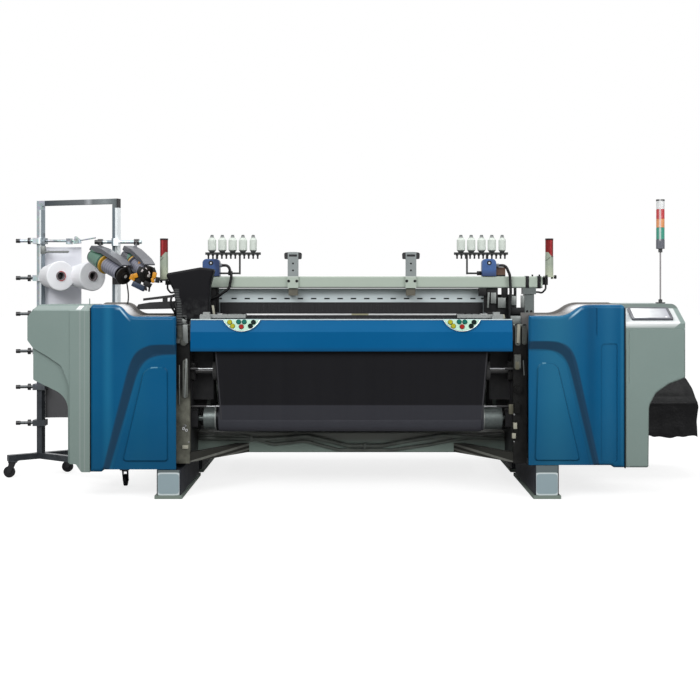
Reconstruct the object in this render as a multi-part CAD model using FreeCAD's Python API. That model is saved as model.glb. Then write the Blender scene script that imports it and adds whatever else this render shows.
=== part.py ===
import FreeCAD, Part
import math
import os

os.makedirs("parts", exist_ok=True)
V = FreeCAD.Vector

# Rapier power loom, 1.9 m reed width.  Millimetres, +Z up, front faces -Y.
# The origin is on the floor, under the middle of the machine.

# ---- depth stations, from the front to the back
cover_front_y = -950.0
cover_back_y = -600.0
frame_front_y = -850.0
frame_back_y = 820.0
gearbox_back_y = 600.0

# ---- widths: half the working width comes first, the rest is measured outwards from it
cloth_half = 850.0
side_room = 135.0
frame_thick = 81.0
left_cover_gap = 72.0
right_cover_gap = 82.0
left_cover_wide = 513.0
right_cover_wide = 577.0
left_end_wide = 375.0
right_end_wide = 362.0

# ---- heights
foot_high = 200.0
lid_thick = 14.0
frame_top_z = 1040.0
cover_low_z = 1097.0
cover_top_z = 1168.0
left_cover_bottom = 176.0
right_cover_bottom = 202.0
warp_z = 1070.0

# ---- running parts
cloth_thick = 1.5
strip_count = 48
strip_gap = 5.0
wire_wide = 2.0
run_fit = 0.05
free_gap = 0.5
side_gap = 3.0
journal_r = 17.0
cloth_roll_r = 82.0
cloth_roll_y = -700.0
cloth_roll_z = 460.0
takeup_r = 58.0
takeup_y = -760.0
takeup_z = 757.0
beam_y = 460.0
beam_z = 500.0
beam_roll_r = 300.0
beam_flange_r = 380.0
beam_barrel_r = 90.0
backrest_r = 60.0
sley_y = -470.0
sley_z = 420.0
sley_shaft_r = 30.0
reed_y = -560.0
reed_top_z = 1105.0
heald_y = -380.0
heald_thick = 12.0
heald_pitch = 25.0
heald_count = 4
heald_low_z = 860.0
heald_top_z = 1264.0
stave_high = 90.0
heald_guide_fit = 0.3

# ---- upper girder and what it carries
girder_y = -470.0
girder_deep = 70.0
girder_low_z = 1267.0
girder_high = 75.0
girder_left_over = 165.0
girder_right_over = 240.0
rack_z = 1481.0
bobbin_r = 27.0
bobbin_pitch = 66.3

# ---- breast cover and its buttons
breast_y = -850.0
breast_deep = 90.0
breast_low_z = 940.0
breast_round = 25.0
cover_end_gap = 9.0
breast_cover_y = -880.0
breast_cover_low_z = 882.0
breast_crease_z = 1001.0
breast_cover_top_z = 1074.0
breast_lean = 18.0
panel_thick = 14.0
panel_wide = 226.0
button_r = 13.5
button_proud = 6.0
button_travel = 3.0

# ---- yarn creel
creel_post = 40.0
creel_top_z = 1856.0
creel_gap = 160.0
creel_wide = 554.0
castor_wheel_r = 38.0
castor_wheel_wide = 22.0
castor_bar_z = 112.0
castor_trail = 26.0
feeder_r = 59.0

frame_inner_x = cloth_half + side_room
frame_outer_x = frame_inner_x + frame_thick
left_cover_x = frame_inner_x + left_cover_gap
right_cover_x = frame_inner_x + right_cover_gap
left_end_x = left_cover_x + left_cover_wide + left_end_wide
breast_cover_half = frame_inner_x - cover_end_gap
creel_left = V(-left_end_x - creel_gap, -40, 0)
creel_right = V(creel_left.x + creel_wide, -250, 0)
girder_top_z = girder_low_z + girder_high
strip_pitch = 2 * cloth_half / strip_count
cloth_top_z = warp_z + cloth_thick


# ---- shape helpers
def block(x0, x1, y0, y1, z0, z1):
    return Part.makeBox(x1 - x0, y1 - y0, z1 - z0, V(x0, y0, z0))


def rod(start, end, radius):
    return Part.makeCylinder(radius, (end - start).Length, start, end - start)


def taper(start, end, r0, r1):
    return Part.makeCone(r0, r1, (end - start).Length, start, end - start)


def ring(start, end, r_out, r_in):
    return rod(start, end, r_out).cut(rod(start, end, r_in))


def fused(shapes):
    whole = shapes[0].fuse(shapes[1:]) if len(shapes) > 1 else shapes[0]
    return whole.removeSplitter()


def mirrored(shape):
    return shape.mirror(V(0, 0, 0), V(1, 0, 0))


def rounded_wire(corners, at, closed=True):
    count = len(corners)
    bends = []
    for i in range(count):
        u, v, radius = corners[i]
        here = at(u, v)
        if radius == 0:
            bends.append((here, None, here))
            continue
        before = at(corners[i - 1][0], corners[i - 1][1]) - here
        after = at(corners[(i + 1) % count][0], corners[(i + 1) % count][1]) - here
        before.normalize()
        after.normalize()
        half = before.getAngle(after) / 2
        middle = before + after
        middle.normalize()
        reach = radius / math.tan(half)
        bow = here + middle * (radius / math.sin(half) - radius)
        bends.append((here + before * reach, bow, here + after * reach))
    edges = []
    for i in range(count):
        start, bow, end = bends[i]
        if bow is not None:
            edges.append(Part.Arc(start, bow, end).toShape())
        if closed or i < count - 1:
            following = bends[(i + 1) % count][0]
            if end.distanceToPoint(following) > 0.001:
                edges.append(Part.makeLine(end, following))
    return Part.Wire(edges)


def front_shape(corners, y0, y1):
    face = Part.Face(rounded_wire(corners, lambda u, v: V(u, y0, v)))
    return face.extrude(V(0, y1 - y0, 0))


def side_shape(corners, x0, x1):
    face = Part.Face(rounded_wire(corners, lambda u, v: V(x0, u, v)))
    return face.extrude(V(x1 - x0, 0, 0))


def plan_shape(corners, z0, z1):
    face = Part.Face(rounded_wire(corners, lambda u, v: V(u, v, z0)))
    return face.extrude(V(0, 0, z1 - z0))


def softened(shape, edges, radius):
    # a rounding that the outline has no room for is left sharp
    try:
        soft = shape.makeFillet(radius, edges)
    except Exception:
        return shape
    if soft.isValid() and soft.Volume > 0:
        return soft
    return shape


def edges_at_y(shape, y):
    return [e for e in shape.Edges if abs(e.BoundBox.YMin - y) < 0.01 and abs(e.BoundBox.YMax - y) < 0.01]


def tube_along(points, bend, radius):
    # straight runs joined by tangent arcs of one bend radius
    count = len(points)
    edges = []
    last = points[0]
    for i in range(1, count - 1):
        here = points[i]
        before = (points[i - 1] - here).normalize()
        after = (points[i + 1] - here).normalize()
        half = before.getAngle(after) / 2
        room = 0.45 * min((points[i - 1] - here).Length, (points[i + 1] - here).Length)
        arc_r = min(bend, room * math.tan(half))
        reach = arc_r / math.tan(half)
        middle = (before + after).normalize()
        start = here + before * reach
        bow = here + middle * (arc_r / math.sin(half) - arc_r)
        end = here + after * reach
        edges.append(Part.makeLine(last, start))
        edges.append(Part.Arc(start, bow, end).toShape())
        last = end
    edges.append(Part.makeLine(last, points[-1]))
    circle = Part.Wire(Part.makeCircle(radius, points[0], points[1] - points[0]))
    pipe = Part.Wire(edges).makePipeShell([circle], True, True)
    return pipe


def turned(shape, base, axis, degrees):
    placed = shape.copy()
    placed.rotate(base, axis, degrees)
    return placed


def aimed(shape, start, end):
    # a shape built upwards from the origin, set to point from start to end
    placed = shape.copy()
    placed.Placement = FreeCAD.Placement(start, FreeCAD.Rotation(V(0, 0, 1), end - start))
    return placed


def export(name, shape):
    shape.exportStep("parts/" + name + ".step")
    box = shape.BoundBox
    print(
        "%-22s solids %3d valid %s vol %.3e  x %.1f %.1f  y %.1f %.1f  z %.1f %.1f"
        % (name, len(shape.Solids), shape.isValid(), shape.Volume,
           box.XMin, box.XMax, box.YMin, box.YMax, box.ZMin, box.ZMax)
    )


# ---- moulded covers at the two ends
def swoop(climb, level, top):
    # the top edge climbs from the low level to the high one in two even curves
    low_start, run, radius = climb
    return [(low_start, level, radius), (low_start + run, top, radius)]


left_climb = (275.0, 60.0, 84.0)
right_climb = (225.0, 89.0, 160.0)
band_deep = 22.0
panel_deep = 10.0


def sloped(first, second, y0, y1):
    # a solid between two outlines with the same corners, so that its sides slope
    wires = [rounded_wire(corners, lambda u, v, y=y: V(u, y, v)) for corners, y in ((first, y0), (second, y1))]
    return Part.makeLoft(wires, True, True)


def front_cover(inner, wide, side, band, panel, column, climb, bottom, rise):
    def across(corners):
        return [(side * (inner + d), z, r) for d, z, r in corners]

    outline = [(0, bottom, 0), (0, cover_low_z + rise, 0)]
    outline += swoop(climb, cover_low_z + rise, cover_top_z)
    outline += [(wide, cover_top_z, 24), (wide, bottom - 13, 0), (wide - 66, bottom - 13, 0), (wide - 79, bottom, 0)]
    body = front_shape(across(outline), cover_front_y, cover_back_y)
    body = softened(body, edges_at_y(body, cover_front_y), 22)
    lip = block(0, 53, cover_front_y + 40, cover_back_y, 0, cover_top_z + 60)
    lip.translate(V(inner, 0, 0))
    body = body.cut(lip if side > 0 else mirrored(lip))
    outer_edge, inner_edge = band
    field = sloped(across(outer_edge), across(inner_edge), cover_front_y - 1, cover_front_y + band_deep)
    grown = [(d + dx, z + dz, r) for (d, z, r), (dx, dz) in zip(panel, ((-8, -8), (-8, 8), (8, 8), (12, -8)))]
    boss = sloped(across(panel), across(grown), cover_front_y + panel_deep, cover_front_y + band_deep + 1)
    body = body.cut(field.cut(boss))
    for corners, depth in column:
        body = body.cut(front_shape(across(corners), cover_front_y - 1, cover_front_y + depth))
    return body


left_band = (
    [(-5, 120, 0), (441, 120, 0), (258, 862, 100), (160, 932, 70), (-5, 929, 0)],
    [(-5, 120, 0), (387, 120, 0), (229, 806, 90), (132, 873, 60), (-5, 872, 0)],
)
left_panel = [(54, 232, 15), (54, 786, 30), (184, 786, 70), (312, 232, 15)]
cover_front_left = front_cover(
    left_cover_x, left_cover_wide, -1, left_band, left_panel, [], left_climb, left_cover_bottom, 0)
export("cover_front_left", cover_front_left)

right_band = (
    [(-5, 140, 0), (420, 140, 0), (254, 884, 100), (176, 954, 70), (-5, 952, 0)],
    [(-5, 140, 0), (383, 140, 0), (220, 828, 90), (146, 889, 60), (-5, 887, 0)],
)
right_panel = [(42, 236, 15), (58, 813, 40), (166, 813, 60), (300, 236, 15)]
right_column = [([(430, 226, 12), (430, 934, 25), (529, 934, 12), (529, 226, 12)], 6),
                ([(400, 985, 3), (400, 1146, 3), (408, 1146, 3), (408, 985, 3)], 4)]
cover_front_right = front_cover(
    right_cover_x, right_cover_wide, 1, right_band, right_panel, right_column, right_climb, right_cover_bottom, 4)
export("cover_front_right", cover_front_right)

left_split_x = left_cover_x + left_cover_wide
right_split_x = right_cover_x + right_cover_wide
right_end_x = right_split_x + right_end_wide
end_back_y = cover_back_y
end_layer = 16.0
ridge_wide = 120.0


def left_across(corners):
    return [(-(left_split_x + d), z, r) for d, z, r in corners]


left_end_outline = [
    (left_end_wide - 31, 716, 12), (left_end_wide - 31, 905, 10), (left_end_wide, 954, 15),
    (left_end_wide, 1098, 20), (left_end_wide - 50, cover_top_z, 20), (0, cover_top_z, 0),
    (0, 163, 0), (51, 163, 15), (84, 212, 15), (135, 212, 12), (135, 615, 130),
]
cover_end_left = front_shape(left_across(left_end_outline), cover_front_y + end_layer, end_back_y)
left_swoosh = [
    (left_end_wide - 33, 909, 0), (left_end_wide, 954, 15), (left_end_wide, 1098, 20),
    (left_end_wide - 50, cover_top_z - 22, 20), (ridge_wide, cover_top_z - 22, 0), (ridge_wide, 660, 0),
    (135, 712, 70), (170, 800, 60), (253, 857, 80),
]
ridge = [(0, cover_top_z - 22, 0), (ridge_wide, cover_top_z - 22, 0), (ridge_wide, 212, 0),
         (84, 212, 15), (51, 163, 15), (0, 163, 0)]
skin_left = front_shape(left_across(left_swoosh), cover_front_y, cover_front_y + end_layer)
ridge_left = front_shape(left_across(ridge), cover_front_y - 4, cover_front_y + end_layer)
cover_end_left = fused([cover_end_left, skin_left, ridge_left])
bevel = side_shape([(cover_front_y - 10, cover_top_z - 40, 0), (cover_front_y - 10, cover_top_z + 1, 0),
                    (cover_front_y + 90, cover_top_z + 1, 0)], -left_split_x - left_end_wide - 5, -left_split_x)
cover_end_left = cover_end_left.cut(bevel)
pin_x = -left_split_x - 23
catch_pin = rod(V(pin_x, frame_front_y, cover_top_z - 10), V(pin_x, frame_front_y, cover_top_z + 36), 3)
cover_end_left = fused([cover_end_left, catch_pin])
export("cover_end_left", cover_end_left)

console_low_z = 1055.0
console_deep = 230.0
console_back_y = -350.0
console_slope = math.degrees(math.atan2(cover_top_z + 2 - console_low_z, console_deep))
right_end_outline = [
    (0, 190, 0), (141, 190, 10), (145, 560, 90), (185, 636, 60), (262, 690, 60), (right_end_wide, 728, 12),
    (right_end_wide, cover_top_z + 2, 25), (0, cover_top_z + 2, 0),
]
cover_end_right = front_shape([(right_split_x + d, z, r) for d, z, r in right_end_outline],
                              cover_front_y, console_back_y)
cover_end_right = softened(cover_end_right, edges_at_y(cover_end_right, cover_front_y), 14)
console_cut = side_shape([(cover_front_y - 20, console_low_z - 10, 0), (cover_front_y, console_low_z, 0),
                          (cover_front_y + console_deep, cover_top_z + 2, 0),
                          (cover_front_y + console_deep, cover_top_z + 30, 0),
                          (cover_front_y - 20, cover_top_z + 30, 0)],
                         right_split_x - 1, right_end_x + 1)
cover_end_right = cover_end_right.cut(console_cut)
seam = front_shape([(right_split_x + d, z, 0) for d, z in
                    [(20, 700), (24, 700), (24, 1020), (right_end_wide - 20, 1020), (right_end_wide - 20, 1024), (20, 1024)]],
                   cover_front_y - 1, cover_front_y + 5)
cover_end_right = cover_end_right.cut(seam)
export("cover_end_right", cover_end_right)

# the touch screen lies on the sloping console face
screen_wide = 250.0
screen_long = 150.0
screen_up = 38.0
screen_x = right_split_x + 48
screen = block(0, screen_wide, 0, screen_long, 0, 12)
glass = block(16, screen_wide - 16, 14, screen_long - 14, 10, 13)
screen = softened(screen, [e for e in screen.Edges if abs(e.BoundBox.ZLength) > 5], 10).cut(glass)
screen.translate(V(screen_x, screen_up, 0))
screen = turned(screen, V(0, 0, 0), V(1, 0, 0), console_slope)
screen.translate(V(0, cover_front_y, console_low_z))
export("console_screen", screen)


# ---- side frames with their gear cases, bearings, guides and small levers
def side_frame(gear_wide, cover_x, cover_wide, climb, rise):
    plate = side_shape([(frame_front_y, foot_high, 0), (frame_front_y, frame_top_z, 25),
                        (frame_back_y, frame_top_z, 40), (frame_back_y, foot_high, 60)],
                       frame_inner_x, frame_outer_x)
    for window in ([(-620, 560, 60), (-620, 860, 60), (-100, 860, 60), (-100, 560, 60)],
                   [(-180, 280, 50), (-180, 470, 50), (60, 470, 50), (60, 280, 50)],
                   [(120, 900, 40), (120, 700, 40), (620, 700, 40), (620, 900, 40)]):
        plate = plate.cut(side_shape(window, frame_inner_x - 1, frame_outer_x - 20))
    case = block(frame_outer_x, frame_outer_x + gear_wide, cover_back_y, gearbox_back_y, foot_high, frame_top_z)
    long_edges = [e for e in case.Edges if abs(e.BoundBox.YLength) > 100 and e.BoundBox.XMin > frame_outer_x + 1]
    case = softened(case, long_edges, 40)
    lid = block(frame_outer_x + gear_wide, frame_outer_x + gear_wide + lid_thick, -450, 450, 330, 910)
    wall = [(cover_x + d, z, r) for d, z, r in
            [(0, 300, 0), (0, cover_low_z + rise + 11, 0)] + swoop((climb[0] - 14, climb[1], climb[2]), cover_low_z + rise + 11, cover_top_z + 9)
            + [(cover_wide, cover_top_z + 9, 30), (cover_wide, 300, 0)]]
    wall = front_shape(wall, cover_back_y, cover_back_y + 25)
    parts = [plate, case, lid, wall]
    # heald frame guides, one groove for each frame
    guide_front = heald_y - 20
    guide_back = heald_y + heald_pitch * (heald_count - 1) + heald_thick + 20
    guide = block(cloth_half + side_gap + 20, frame_inner_x, guide_front, guide_back, 900, 1225)
    for i in range(heald_count):
        y = heald_y + heald_pitch * i
        guide = guide.cut(block(cloth_half, lug_x + 0.5, y - heald_guide_fit, y + heald_thick + heald_guide_fit, 899, 1226))
    parts.append(guide)
    # bearings of the two front rollers and of the back rest
    for y, z, depth in ((cloth_roll_y, cloth_roll_z, 35), (takeup_y, takeup_z, 24)):
        boss = side_shape([(y - 48, z - 55, 12), (y - 48, z + 55, 12), (y + 48, z + 55, 12), (y + 48, z - 55, 12)],
                          frame_inner_x - depth, frame_inner_x)
        parts.append(boss)
    rest_boss = rod(V(frame_inner_x - 20, backrest_y, backrest_z), V(frame_inner_x, backrest_y, backrest_z), 45)
    beam_boss = rod(V(frame_inner_x - 30, beam_y, beam_z), V(frame_inner_x, beam_y, beam_z), 75)
    sley_boss = rod(V(frame_inner_x - 25, sley_y, sley_z), V(frame_inner_x, sley_y, sley_z), 55)
    guard = block(cloth_half + 8, frame_inner_x, cloth_roll_y + 6, cloth_roll_y + 14, 575, 930)
    parts += [rest_boss, beam_boss, sley_boss, guard]
    whole = fused(parts)
    for y, z, r in ((cloth_roll_y, cloth_roll_z, journal_r), (takeup_y, takeup_z, journal_r),
                    (backrest_y, backrest_z, journal_r), (beam_y, beam_z, sley_shaft_r),
                    (sley_y, sley_z, sley_shaft_r)):
        whole = whole.cut(rod(V(frame_inner_x - 60, y, z), V(journal_end_x + 1, y, z), r + run_fit))
    return whole


lug_x = cloth_half + side_gap + 45
backrest_y = beam_y + beam_roll_r - backrest_r
backrest_z = warp_z - free_gap - backrest_r
journal_end_x = frame_inner_x + 30
left_gear_wide = 304.0
right_gear_wide = 504.0


def lever(x0, x1, z0, z1, y_front, thick, bore):
    # a flat lever with rounded ends and a bored eye in each end
    half = (x1 - x0) / 2
    mid = (x0 + x1) / 2
    arm = front_shape([(x0, z0, half * 0.9), (x0, z1, half * 0.9), (x1, z1, half * 0.9), (x1, z0, half * 0.9)],
                      y_front, y_front + thick)
    for z in (z0 + half, z1 - half):
        arm = arm.cut(rod(V(mid, y_front - 1, z), V(mid, y_front + thick + 1, z), bore))
    return arm


frame_left = mirrored(side_frame(left_gear_wide, left_cover_x, left_cover_wide, left_climb, 0))
fy = frame_front_y
fx = frame_inner_x
link_left = lever(-fx - 55, -fx - 15, 918, 1105, fy - 12, 12, 9)
pin_left = rod(V(-fx - 35, fy - 20, 938), V(-fx - 35, fy, 938), 9)
rocker_left = lever(-fx - 71, -fx - 45, 960, 1140, fy - 22, 10, 7)
rocker_pin = rod(V(-fx - 58, fy - 28, 976), V(-fx - 58, fy, 976), 7)
slotted = lever(-fx - 41, -fx - 9, 600, 833, fy - 10, 10, 6)
slotted = slotted.cut(block(-fx - 30, -fx - 20, fy - 11, fy + 1, 650, 780))
hose_left = tube_along([V(-fx - 67, fy + 20, frame_top_z), V(-fx - 67, fy + 20, 1180), V(-fx - 81, fy + 20, 1215),
                        V(-fx - 81, fy + 20, 1262)], 40, 15)
frame_left = fused([frame_left, link_left, pin_left, rocker_left, rocker_pin, slotted, hose_left])
export("side_frame_left", frame_left)

frame_right = side_frame(right_gear_wide, right_cover_x, right_cover_wide, right_climb, 4)
lever_a = lever(fx + 9, fx + 43, 918, 1056, fy - 12, 12, 8)
lever_b = lever(fx + 51, fx + 79, 924, 1050, fy - 20, 10, 6)
pin_b = rod(V(fx + 65, fy - 26, 938), V(fx + 65, fy, 938), 6)
sensor_cube = block(fx + 3, fx + 40, fy - 40, fy, 782, 864)
gear_disc = rod(V(fx + 27, fy - 24, 655), V(fx + 27, fy, 655), 25)
gear_hub = rod(V(fx + 27, fy - 34, 655), V(fx + 27, fy - 24, 655), 12)
stop_a = block(fx + 5, fx + 37, fy - 22, fy, 509, 570)
stop_b = block(fx + 3, fx + 25, fy - 16, fy, 350, 454)
frame_right = fused([frame_right, lever_a, lever_b, pin_b, sensor_cube, gear_disc, gear_hub, stop_a, stop_b])
export("side_frame_right", frame_right)

# ---- four feet, each with a floor flange and one anchor hole
foot_wide = 146.0
foot_front_y = -930.0
foot_long = 850.0
foot_flange = 20.0
anchor_r = 11.0
anchor_y = -460.0
pocket_half = 50.0
left_foot_x = -frame_inner_x - 116
right_foot_x = frame_inner_x + 192


def foot(x, front_high, mirror_y):
    # a long box foot, with a pocket on its outer side over the anchor hole
    half = foot_wide / 2
    outward = math.copysign(1, x)
    back = foot_front_y + foot_long
    body = block(x - half, x + half, foot_front_y, back, foot_flange, foot_high)
    body = body.cut(block(x - half - 1, x + half + 1, foot_front_y - 1, cover_back_y + 4, front_high, foot_high + 1))
    upright = [e for e in body.Edges if abs(e.BoundBox.ZLength) > 50]
    body = softened(body, upright, 14)
    sides = sorted((x, x + outward * (half + 1)))
    body = body.cut(block(sides[0], sides[1], anchor_y - pocket_half, anchor_y + pocket_half, foot_flange, foot_high - 30))
    plate = block(x - half - 10, x + half + 10, foot_front_y - 12, back + 12, 0, foot_flange)
    whole = fused([body, plate])
    hole_x = x + outward * anchor_out
    whole = whole.cut(rod(V(hole_x, anchor_y, -1), V(hole_x, anchor_y, foot_flange + 1), anchor_r))
    if mirror_y:
        whole = whole.mirror(V(0, 0, 0), V(0, 1, 0))
    return whole


anchor_out = 36.0
feet = Part.makeCompound([foot(x, high, back) for x, high in
                          ((left_foot_x, left_cover_bottom - 4), (right_foot_x, right_cover_bottom - 2))
                          for back in (False, True)])
export("machine_feet", feet)

# ---- lower cross beam with its two braces
lower_z = 210.0
lower_high = 131.0
lower_y = -450.0
lower_deep = 150.0
lower_beam = block(-frame_inner_x, frame_inner_x, lower_y, lower_y + lower_deep, lower_z, lower_z + lower_high)
lower_beam = softened(lower_beam, [e for e in lower_beam.Edges if abs(e.BoundBox.XLength) > 500], 12)


def brace(side):
    x = side * frame_inner_x
    end = Part.makePolygon([V(x, -830, 205), V(x, -765, 205), V(x, -765, 262), V(x, -830, 262), V(x, -830, 205)])
    far = side * (frame_inner_x - 330)
    near = far + side * 75
    y = lower_y
    top = Part.makePolygon([V(far, y, 214), V(near, y, 214), V(near, y, 272), V(far, y, 272), V(far, y, 214)])
    return Part.makeLoft([end, top], True, True)


lower_beam = fused([lower_beam, brace(-1), brace(1)])
export("lower_beam", lower_beam)

# ---- cable bundle clipped along the front of the lower beam
bundle_r = 14.0
bundle_y = lower_y - bundle_r
cable_end = frame_inner_x - 4


def strung(path, y, radius):
    # each point is a share of the half span and a height
    return tube_along([V(share * cable_end, y, z) for share, z in path], 160, radius)


bundle = strung([(-1, 306), (-0.775, 300), (-0.532, 299), (-0.284, 318), (-0.022, 256), (0.199, 256), (0.447, 300),
                 (0.601, 322), (1, 300)], bundle_y, bundle_r)
second_r = 11.0
second = strung([(-1, 322), (-0.693, 318), (-0.51, 262), (-0.306, 286), (-0.082, 228), (0.265, 228), (0.51, 262),
                 (0.693, 296), (1, 326)], lower_y - second_r, second_r)
clips = []
for x, z in ((-0.653 * cable_end, 299.5), (0.0877 * cable_end, 256)):
    clips.append(block(x - 8, x + 8, lower_y - 2 * bundle_r - 3, lower_y, z - bundle_r - 4, z + bundle_r + 4))
cables = fused([bundle, second] + clips)
export("machine_cables", cables)

# ---- breast beam with the temples that hold the cloth edges
breast_beam = side_shape([(breast_y, breast_low_z, 10), (breast_y, warp_z, breast_round),
                          (breast_y + breast_deep, warp_z, 15), (breast_y + breast_deep, breast_low_z, 10)],
                         -frame_inner_x, frame_inner_x)


def temple(side):
    stand = block(cloth_half + 12, cloth_half + 78, breast_y + 30, breast_y + 84, warp_z, warp_z + 32)
    bar = block(cloth_half - 200, cloth_half + 78, breast_y + 60, breast_y + 84, warp_z + 14, warp_z + 36)
    start = V(cloth_half - 200, breast_y + 130, warp_z + 24)
    head = rod(start, start + V(150, 0, 0), 15)
    arm = block(cloth_half - 120, cloth_half - 90, breast_y + 60, breast_y + 130, warp_z + 18, warp_z + 32)
    clamp = block(cloth_half + 20, cloth_half + 60, breast_y + 50, breast_y + 90, warp_z + 32, warp_z + 50)
    whole = fused([stand, bar, head, arm, clamp])
    return whole if side > 0 else mirrored(whole)


breast_beam = fused([breast_beam, temple(-1), temple(1)])
export("breast_beam", breast_beam)

# ---- breast cover: upright below the crease, leaning back above it, bright lip on top
bc = breast_cover_y
skin = 12.0
cover_profile = [
    (bc, breast_cover_low_z, 5), (bc, breast_crease_z, 0), (bc + breast_lean, breast_cover_top_z, 4),
    (bc + breast_lean + skin, breast_cover_top_z, 0), (bc + skin, breast_crease_z, 0), (bc + skin, breast_cover_low_z, 0),
]
breast_cover = side_shape(cover_profile, -breast_cover_half, breast_cover_half)
hem = block(-breast_cover_half, breast_cover_half, bc + 6, breast_y - cloth_thick - 4, breast_cover_low_z, breast_cover_low_z + 8)
tabs = []
for side in (-1, 1):
    tab = block(cloth_half + 25, breast_cover_half - 10, bc + skin, breast_y, 955, 990)
    tabs.append(tab if side > 0 else mirrored(tab))
lip_face = bc + breast_lean
lip = block(-breast_cover_half, breast_cover_half, lip_face - 4, lip_face + skin - 4, breast_cover_top_z, breast_cover_top_z + 5)
breast_cover = fused([breast_cover, hem, lip] + tabs)
export("breast_cover", breast_cover)

# ---- button panels: half lenses on the leaning part, with seven bores each
panel_tilt = math.degrees(math.atan2(breast_lean, breast_cover_top_z - breast_crease_z))
panel_high = 72.0
panel_centres = {"left": 310 - breast_cover_half, "right": breast_cover_half - 305}
button_places = [
    ("yellow_upper", -72, 58), ("yellow_lower", -54, 34), ("green_outer", -18, 60), ("green_inner", 16, 60),
    ("red", -1, 30), ("black_upper", 72, 58), ("black_lower", 54, 34),
]


def on_panel(shape, centre):
    # a shape built with its face at y = 0 is laid on the leaning part of the cover
    placed = shape.copy()
    placed.rotate(V(0, 0, 0), V(1, 0, 0), -panel_tilt)
    placed.translate(V(centre, breast_cover_y, breast_crease_z))
    return placed


def panel_shape():
    half = panel_wide / 2
    face_y = -panel_thick
    edges = [
        Part.Arc(V(-half, face_y, panel_high), V(0, face_y, 2), V(half, face_y, panel_high)).toShape(),
        Part.makeLine(V(half, face_y, panel_high), V(-half, face_y, panel_high)),
    ]
    plate = Part.Face(Part.Wire(edges)).extrude(V(0, panel_thick, 0))
    for name, dx, up in button_places:
        plate = plate.cut(rod(V(dx, face_y - 1, up), V(dx, 1, up), button_r + run_fit))
    return plate


def button_shape(dx, up):
    seat = V(dx, -button_travel - 1, up)
    top = V(dx, -panel_thick - button_proud, up)
    head = rod(seat, top, button_r)
    rim = [e for e in head.Edges if abs(e.BoundBox.YMin - top.y) < 0.01 and abs(e.BoundBox.YMax - top.y) < 0.01]
    return softened(head, rim, 1.5)


export("button_panels", Part.makeCompound([on_panel(panel_shape(), c) for c in panel_centres.values()]))
for place, centre in panel_centres.items():
    for name, dx, up in button_places:
        export("button_" + place + "_" + name, on_panel(button_shape(dx, up), centre))


# ---- rollers
def roller(y, z, steps):
    # steps (x0, x1, radius) along one axis
    return fused([rod(V(x0, y, z), V(x1, y, z), r) for x0, x1, r in steps])


end_x = journal_end_x - 2
roll_left = cloth_half - 31
roll_right = cloth_half - 50
cloth_roller = roller(cloth_roll_y, cloth_roll_z, [
    (-end_x, end_x, journal_r), (-roll_left - 93, roll_right + 130, 69 * cloth_roll_r / 82), (-roll_left, roll_right, cloth_roll_r),
    (-roll_left - 14, -roll_left, cloth_roll_r - 5), (roll_right, roll_right + 14, cloth_roll_r - 5)])
export("cloth_roller", cloth_roller)
takeup = roller(takeup_y, takeup_z, [(-end_x, end_x, journal_r), (-cloth_half, cloth_half, takeup_r)])
export("takeup_roller", takeup)
back_rest = roller(backrest_y, backrest_z, [(-end_x, end_x, journal_r), (-cloth_half - 40, cloth_half + 40, backrest_r)])
export("back_rest", back_rest)
flange_thick = 14.0
warp_beam = roller(beam_y, beam_z, [
    (-end_x, end_x, sley_shaft_r), (-cloth_half - 60, cloth_half + 60, beam_barrel_r),
    (-cloth_half - 4, cloth_half + 4, beam_roll_r),
    (-cloth_half - 4 - flange_thick, -cloth_half - 4, beam_flange_r),
    (cloth_half + 4, cloth_half + 4 + flange_thick, beam_flange_r)])
export("warp_beam", warp_beam)

# ---- sley with its swords, and the reed
sley_top_z = 1045.0
sley_low_z = 985.0
sley_half = cloth_half + 80
reed_thick = 8.0
reed_seat = 15.0
sley_beam = block(-sley_half, sley_half, reed_y - 45, reed_y + 35, sley_low_z, sley_top_z)
seat_cut = block(-cloth_half - 12, cloth_half + 12, reed_y - reed_thick / 2, reed_y + reed_thick / 2,
                 sley_top_z - reed_seat, sley_top_z + 1)
sley_parts = [sley_beam, rod(V(-end_x, sley_y, sley_z), V(end_x, sley_y, sley_z), sley_shaft_r)]
for x in (35 - sley_half, -sley_half / 3 - 5, sley_half / 3 - 25, sley_half - 65):
    sword = side_shape([(sley_y - 50, sley_z, 0), (reed_y - 35, sley_low_z, 0), (reed_y + 25, sley_low_z, 0),
                        (sley_y + 50, sley_z, 0)], x, x + 30)
    sley_parts.append(sword)
    sley_parts.append(rod(V(x - 8, sley_y, sley_z), V(x + 38, sley_y, sley_z), 50))
sley = fused(sley_parts).cut(seat_cut)
export("sley", sley)


def wire_windows(low, high, at_y):
    # openings between the wires: each passes one strip of warp
    wires = []
    for i in range(strip_count):
        x0 = -cloth_half + strip_pitch * i + wire_wide / 2
        x1 = -cloth_half + strip_pitch * (i + 1) - wire_wide / 2
        if i == 0:
            x0 = -cloth_half - side_gap
        if i == strip_count - 1:
            x1 = cloth_half + side_gap
        points = [V(x0, at_y, low), V(x1, at_y, low), V(x1, at_y, high), V(x0, at_y, high), V(x0, at_y, low)]
        wires.append(Part.makePolygon(points))
    return wires


def rectangle(x0, x1, y, z0, z1):
    return Part.makePolygon([V(x0, y, z0), V(x1, y, z0), V(x1, y, z1), V(x0, y, z1), V(x0, y, z0)])


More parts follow.
